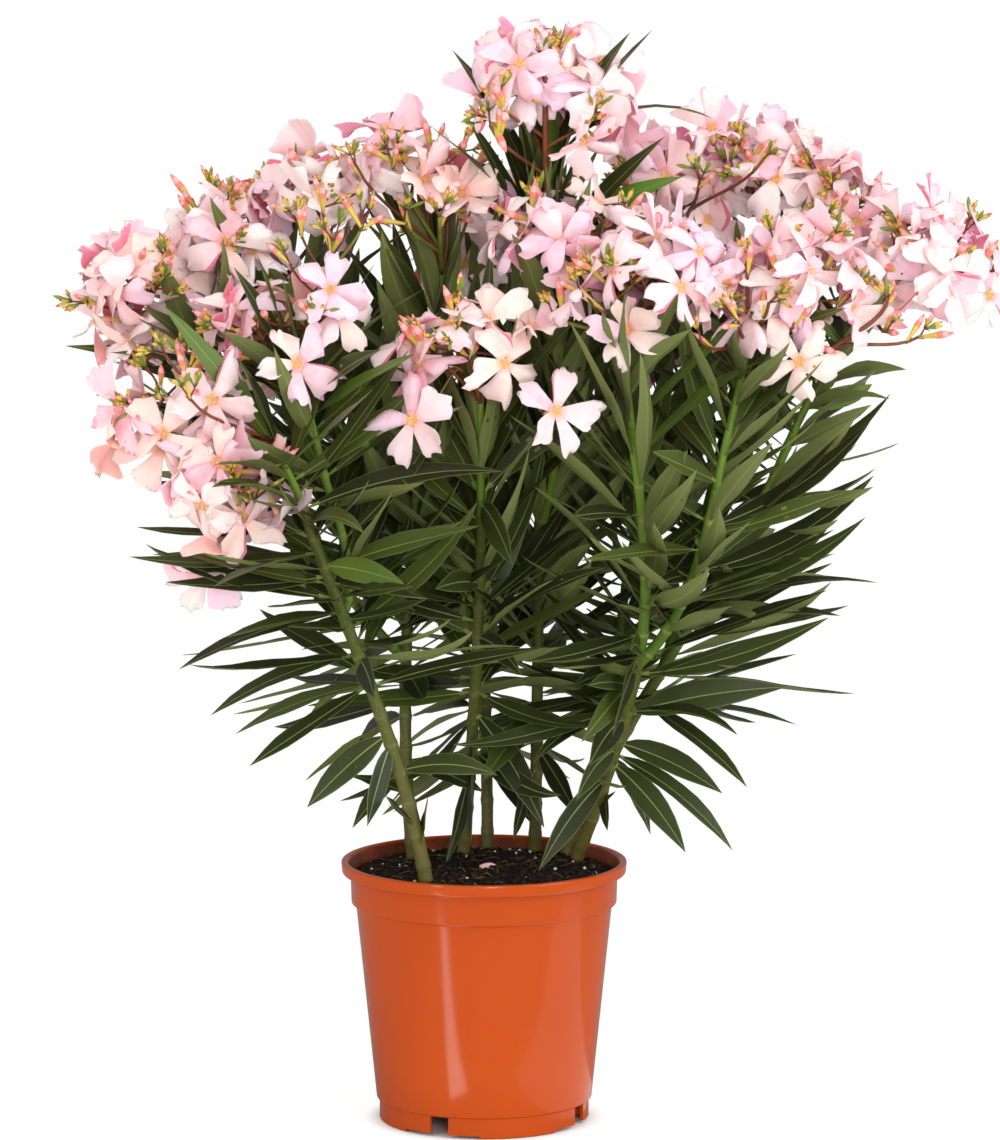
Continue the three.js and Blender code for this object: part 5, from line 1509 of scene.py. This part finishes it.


# Leaves that stand out at the edges and the front of the plant, given one by one: the stem, the height
# they leave it at, their tip, width, how far they arch and how far their upper face turns to the
# front.
LONE_LEAVES = [
    ("top_far_left", 492, (-276, 8, 512), 15, 10, 30),
    ("top_left_low", 446, (-252, -40, 488), 16, 12, 20),
    ("cane_front_left", 404, (-226, -34, 397), 14, -6, 14),
    ("cane_front_left", 390, (-229, -92, 388), 17, -10, 20),
    ("cane_front_left", 374, (-205, -96, 374), 20, -8, 40),
    ("cane_front_left", 350, (-197, -74, 311), 19, 14, 24),
    ("cane_front_left", 322, (-177, -64, 279), 17, 14, 30),
    ("cane_front_left", 302, (-161, -44, 263), 16, 12, 22),
    ("cane_front_left", 268, (-115, -74, 223), 19, 10, 60),
    ("cane_front_left", 262, (-75, -80, 211), 14, 8, 55),
    ("cane_front_left", 188, (-37, -60, 226), 11, 4, 70),
    ("bough_far_right", 412, (272, 38, 478), 18, -14, 34),
    ("bough_right_outer", 402, (260, -8, 464), 20, -16, 36),
    ("bough_right_outer", 372, (262, 5, 420), 19, -18, 36),
    ("bough_right_outer", 352, (252, -30, 404), 19, -16, 38),
    ("bough_far_right", 330, (263, 20, 352), 14, 18, 18),
    ("bough_far_right", 318, (245, 58, 326), 16, -8, 12),
    ("cane_right", 300, (228, -32, 331), 19, -12, 42),
    ("cane_right", 272, (199, -42, 291), 22, 8, 62),
    ("cane_back_right", 268, (209, 60, 250), 14, 12, 20),
    ("cane_right", 252, (156, -24, 219), 19, 12, 50),
    ("cane_right", 244, (164, -12, 181), 16, 14, 34),
    ("cane_right", 238, (132, -42, 184), 18, 12, 52),
    ("cane_right", 226, (38, -62, 177), 18, 14, 70),
    ("cane_middle", 258, (-7, -32, 190), 15, -4, 76),
    ("cane_middle", 232, (-24, -20, 176), 12, -10, 60),
    ("cane_back_right", 236, (108, 40, 182), 13, 14, 40),
    ("cane_back_right", 224, (82, -12, 196), 12, 6, 60),
    ("cane_centre_tall", 226, (20, -18, 186), 12, 10, 60),
    ("cane_back", 232, (30, 44, 186), 14, 12, 40),
    ("cane_back_left", 232, (-88, 0, 196), 14, 10, 30),
    ("cane_front_left", 206, (-64, -92, 232), 9, 0, 60),
    ("cane_right", 342, (96, -74, 322), 17, 16, 80),
    ("cane_right", 312, (84, -78, 268), 15, 12, 80),
    ("cane_middle", 270, (39, -22, 199), 19, 12, 50),
    ("cane_front_left", 243, (9, -80, 240), 17, 20, 50),
    ("cane_front_left", 228, (-88, -30, 236), 12, 8, 20),
    ("cane_back_left", 236, (-2, 10, 214), 15, 8, 40),
    ("cane_centre_tall", 240, (62, 20, 196), 14, 8, 60),
    ("cane_back_right", 186, (88, 22, 215), 13, 0, 60),
    ("cane_front_left", 381, (-52, -112, 371), 17, 10, 60),
    ("cane_front_left", 345, (-34, -118, 362), 11, -8, 40),
    ("cane_front_left", 318, (-70, -128, 300), 16, 12, 65),
    ("cane_middle", 415, (18, -88, 378), 19, 14, 70),
    ("cane_middle", 360, (-30, -84, 360), 16, 8, 60),
    ("cane_middle", 322, (24, -88, 306), 15, 12, 64),
    ("cane_right", 291, (68, -84, 304), 14, 10, 60),
    ("cane_right", 269, (70, -88, 252), 18, 14, 60),
    ("cane_right", 247, (58, -84, 230), 15, 12, 60),
    ("top_left_centre", 488, (-166, -66, 571), 15, 6, 60),
    ("top_left_centre", 490, (-131, -78, 568), 15, 6, 60),
    ("top_left_centre", 484, (-148, -72, 582), 11, 4, 50),
    ("top_far_left", 508, (-222, -62, 549), 15, 6, 60),
    ("top_left_low", 458, (-204, -94, 553), 16, 6, 66),
    ("top_left_low", 452, (-156, -106, 520), 14, 8, 60),
    ("top_left_inner", 520, (-66, -20, 580), 17, 4, 70),
    ("top_left_inner", 530, (-84, 4, 598), 12, 6, 60),
    ("top_right_outer", 516, (236, -62, 545), 13, 10, 50),
    ("top_right_inner", 520, (98, -70, 596), 12, 4, 50),
    ("top_upper_right", 556, (214, 30, 614), 13, 6, 60),
    ("top_crown", 598, (-33, 8, 700), 14, 12, 50),
    ("top_crown", 622, (106, -8, 714), 17, 8, 60),
    ("top_crown", 630, (117, 4, 717), 14, 8, 40),
    ("top_crown", 618, (165, 20, 653), 8, 50, 6),
    ("top_crown", 545, (17, -14, 664), 24, 6, 80),
    ("top_crown", 536, (45, -24, 640), 24, 4, 80),
    ("top_crown", 548, (66, -6, 660), 18, 6, 70),
    ("top_crown", 560, (-21, -5, 656), 18, 8, 60),
    ("top_crown", 566, (-8, 12, 662), 17, 8, 70),
    ("top_crown", 588, (-44, -14, 646), 9, 6, 30),
    ("top_crown", 572, (133, -4, 620), 18, 14, 56),
    ("top_crown", 566, (124, 0, 648), 17, 6, 60),
    ("top_crown", 548, (98, 10, 612), 18, 8, 40),
]


def lone_leaves(family):
    leaves = []
    stems = {**limbs, **{top.name: top for top in tops}}
    for name, height, tip, width, arch, turn in LONE_LEAVES:
        stem = stems[name]
        if (stem.family if name in limbs else stem.limb.family) != family:
            continue
        heights = stem.line.at(stem.line.shares)[:, 2]
        root = stem.line.at(float(np.interp(height, heights, stem.line.shares)))
        way = unit(np.array(tip) - root)
        side = unit(np.cross(way, (0, 0, 1)))
        start = way * math.cos(math.radians(arch)) + np.cross(side, way) * math.sin(math.radians(arch))
        length = np.linalg.norm(np.array(tip) - root) * (1 + abs(arch) * 0.0008)
        front_first = 1 if side[1] > 0 else -1
        bend, roll = ARCH_BEND * math.radians(arch), front_first * math.radians(turn)
        leaves.append((*root, *start, length, width, bend, roll))
    return leaves


def leaf_sheets(leaves, random, wild=1.0):
    """The front grids of these leaves, one a row, and the normals of the grids. wild is how far
    they stray from the rule."""
    leaves = np.array(leaves)
    count = len(leaves)
    root, first = leaves[:, 0:3], unit(leaves[:, 3:6])
    length, width, bend, roll = leaves[:, 6], leaves[:, 7], leaves[:, 8], leaves[:, 9]
    side = unit(np.cross(first, (0, 0, 1)))
    above = np.cross(side, first)
    # leaves that point inwards stand steeper, those at the right rise more than at the left, and
    # blades tilt their upper face out to the light
    outward = unit((root - (*PLANT_AXIS, 0)) * (1, 1, 0) + (0, -12, 0))
    inward = np.clip(-np.sum(first * outward, -1), 0, 1)
    sunward = np.clip(first[:, 0], -0.5, 1) * np.clip((SUNWARD_TOP[0] - root[:, 2]) / SUNWARD_TOP[1], 0, 1)
    central = np.clip(1.25 - np.abs(root[:, 0] - CENTRAL_PLACE[0]) / CENTRAL_PLACE[1], 0, 1)
    central = central * np.clip((root[:, 2] - CENTRAL_START[0]) / CENTRAL_START[1], 0, 1)
    steeper = RISE_INWARD * inward + RISE_SUNWARD * sunward + RISE_CENTRAL * central
    steeper = steeper + random.normal(0, RISE_SPREAD, count)
    steeper = np.radians(steeper)[:, None] * wild
    first, above = (first * np.cos(steeper) + above * np.sin(steeper),
                    above * np.cos(steeper) - first * np.sin(steeper))
    if wild > 0.5:
        across_light = np.sum(side * outward, -1)
        tilt = 0.14 + 0.72 * np.abs(across_light) * random.uniform(0.35, 1.15, count)
        away = np.where(random.random(count) < TURNED_AWAY, -0.6, 1)
        roll = roll * 0.5 - np.sign(across_light) * tilt * away
    s = LEAF_STATIONS[None]
    hook = random.uniform(*LEAF_HOOK, count)[:, None] * wild
    sway = random.uniform(-LEAF_SWAY, LEAF_SWAY, count)[:, None] * wild
    pitch = 1.35 * bend[:, None] * s + hook * s ** 3
    yaw = sway * s * 2
    ways = (
        first[:, None] * (np.cos(pitch) * np.cos(yaw))[..., None]
        + above[:, None] * np.sin(pitch)[..., None]
        + side[:, None] * (np.cos(pitch) * np.sin(yaw))[..., None])
    steps = np.diff(LEAF_STATIONS)[None, :, None] * length[:, None, None] * (ways[:, 1:] + ways[:, :-1]) / 2
    middle = root[:, None] + np.concatenate([np.zeros((count, 1, 3)), np.cumsum(steps, axis=1)], 1)
    twist = roll[:, None] + random.uniform(-LEAF_TWIST, LEAF_TWIST, count)[:, None] * s * (0.4 + 0.6 * wild)
    flat = unit(side[:, None] - ways * np.sum(side[:, None] * ways, -1, keepdims=True))
    face = np.cross(flat, ways)
    flat, face = (flat * np.cos(twist)[..., None] + face * np.sin(twist)[..., None],
                  face * np.cos(twist)[..., None] - flat * np.sin(twist)[..., None])
    # a lance shape on a short stalk, a little broader below its middle than above it
    u = np.clip((s - LEAF_STALK) / (1 - LEAF_STALK), 0, 1)
    outline = 1 - np.abs(2 * u ** 0.82 - 1) ** 1.9
    half = np.maximum(outline * width[:, None] / 2, np.where(s < 0.5, STALK_HALF_WIDTH, TIP_HALF_WIDTH))
    rib = np.minimum(RIB_WIDTH * (1 - 0.7 * s), half * 0.5)
    margin = np.minimum(MARGIN_WIDTH, (half - rib) * 0.3)
    columns = np.stack([half, half - margin, rib], -1)
    fold = random.uniform(*LEAF_FOLD, count)[:, None, None]
    out = columns / half[..., None]
    rise = fold * half[..., None] * 1.3 * (out - 0.5 * out ** 2)
    rise[..., 0] -= 0.25 * margin
    rise[..., 2] = 0
    flatten = np.sin(np.pi * np.clip(s, 0.05, 0.95))[..., None]
    phase = random.uniform(0, 2 * np.pi, count)[:, None, None]
    wave = LEAF_WAVES[1] * np.sin(LEAF_WAVES[0] * s[..., None] + phase) * flatten * out ** 2
    columns = np.concatenate([-columns, columns[..., ::-1]], -1)
    rise = np.concatenate([rise + wave, (rise - wave)[..., ::-1]], -1)
    front = middle[:, :, None] + flat[:, :, None] * columns[..., None] + face[:, :, None] * rise[..., None]
    normals = np.repeat(face[:, :, None], LEAF_COLUMNS, axis=2)
    return front, normals


def leaf_material(name, colour, rough=(0.36, 0.5), specular=0.35):
    return finish_material(name, colour, grain=700, rough=rough, bump=0.16, depth=0.3, specular=specular)


LEAF_MATERIALS = [leaf_material(f"leaf_green_{i + 1}", tint) for i, tint in enumerate(LEAF_TINTS)]
RIB_SLOT, UNDER_SLOT, STALK_SLOT, MARGIN_HIGHLIGHT_SLOT = (len(LEAF_TINTS) + i for i in range(4))
LEAF_MATERIALS.append(leaf_material("leaf_midrib", paint(126, 136, 80)))
LEAF_MATERIALS.append(leaf_material("leaf_underside", paint(106, 114, 62), (0.5, 0.65), 0.25))
LEAF_MATERIALS.append(leaf_material("leaf_stalk", paint(130, 146, 66)))
# a paler strip along each leaf's edge: painted highlight
LEAF_MATERIALS.append(leaf_material("leaf_margin", paint(94, 104, 54)))
LEAF_FRONT, LEAF_BACK = closed_sheet(len(LEAF_STATIONS), LEAF_COLUMNS)
SPANS = len(LEAF_STATIONS) - 1
BLADE_STRIP = np.tile([True, True, False, True, True], SPANS)
MARGIN_HIGHLIGHT_STRIP = np.tile([True, False, False, False, True], SPANS)
STALK_STRIP = np.repeat(np.arange(SPANS) < 2, LEAF_COLUMNS - 1)

for index, family in enumerate(FAMILIES):
    random = np.random.default_rng(900 + index)
    skin = Skin()
    replaced = []
    groups = []
    for limb in (l for l in limbs.values() if l.family == family):
        start = LATER_START.get(limb.name, LEAVES_START)
        draw = seeded(500 + 13 * len(limb.name) + index)
        rings = leaf_rings(limb.line, limb.radius, limb.ring_runs(), draw, scale=LIMB_SCALES[0], start=start)
        runs = limb.ring_runs()[:-1] + LIMB_WHORL_GAP / 2
        draw = seeded(900 + 17 * len(limb.name) + index)
        between = leaf_rings(limb.line, limb.radius, runs, draw, scale=LIMB_SCALES[1],
                             start=start + BETWEEN_LATER)
        rings += [leaf for leaf in between if random.random() < BETWEEN_SHARE]
        groups.append((rings, ALONG_RULE))
        replaced += SIDE_MASSES.get(limb.name, ())
    for top in (t for t in tops if t.limb.family == family):
        runs = np.arange(6, top.line.length - 3, SHOOT_WHORL_GAP)
        # leaves stay under the blossoms, and on the right they end lower
        ceiling = top.hub[2] + 14 if top.hub[0] > 60 else max(c[0][2] + c[1][2] * 0.7 for c in top.clusters)
        rings = leaf_rings(top.line, top.radius, runs, top.draw, ceiling, SHOOT_SCALES[0])
        runs = runs[:-1] + SHOOT_WHORL_GAP / 2
        between = leaf_rings(top.line, top.radius, runs, seeded(77 + index), ceiling, SHOOT_SCALES[1])
        rings += [leaf for leaf in between if random.random() < BETWEEN_SHARE]
        groups.append((rings, ALONG_RULE))
        replaced.append(top.name)
    groups.append((lone_leaves(family), BY_HAND))
    for leaves, wild in groups:
        if not leaves:
            continue
        front, normals = leaf_sheets(leaves, random, wild)
        points = sheet_points(front, normals, LEAF_THICKNESS)
        young = np.clip((np.array(leaves)[:, 2] - OLD_HEIGHT) / (YOUNG_HEIGHT - OLD_HEIGHT), 0, 1)
        tints = np.clip(random.normal(0.3 + 1.8 * young, 0.85).round(), 0, 4).astype(int)
        front_slots = np.where(BLADE_STRIP[None], tints[:, None], RIB_SLOT)
        # the outer strips of the upper face take the painted highlight
        front_slots = np.where(MARGIN_HIGHLIGHT_STRIP[None], MARGIN_HIGHLIGHT_SLOT, front_slots)
        front_slots = np.where(STALK_STRIP[None], STALK_SLOT, front_slots)
        back_slots = np.where(BLADE_STRIP | STALK_STRIP, UNDER_SLOT, RIB_SLOT)
        back_slots = np.broadcast_to(back_slots, front_slots.shape)
        add_copies(skin, points, np.concatenate([LEAF_FRONT, LEAF_BACK]),
                   np.concatenate([front_slots, back_slots], 1))
    leaf_piece = skin.piece("leaves_" + family, LEAF_MATERIALS, sharp_over=60)
    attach(leaf_piece, "root")
    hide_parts(*replaced)
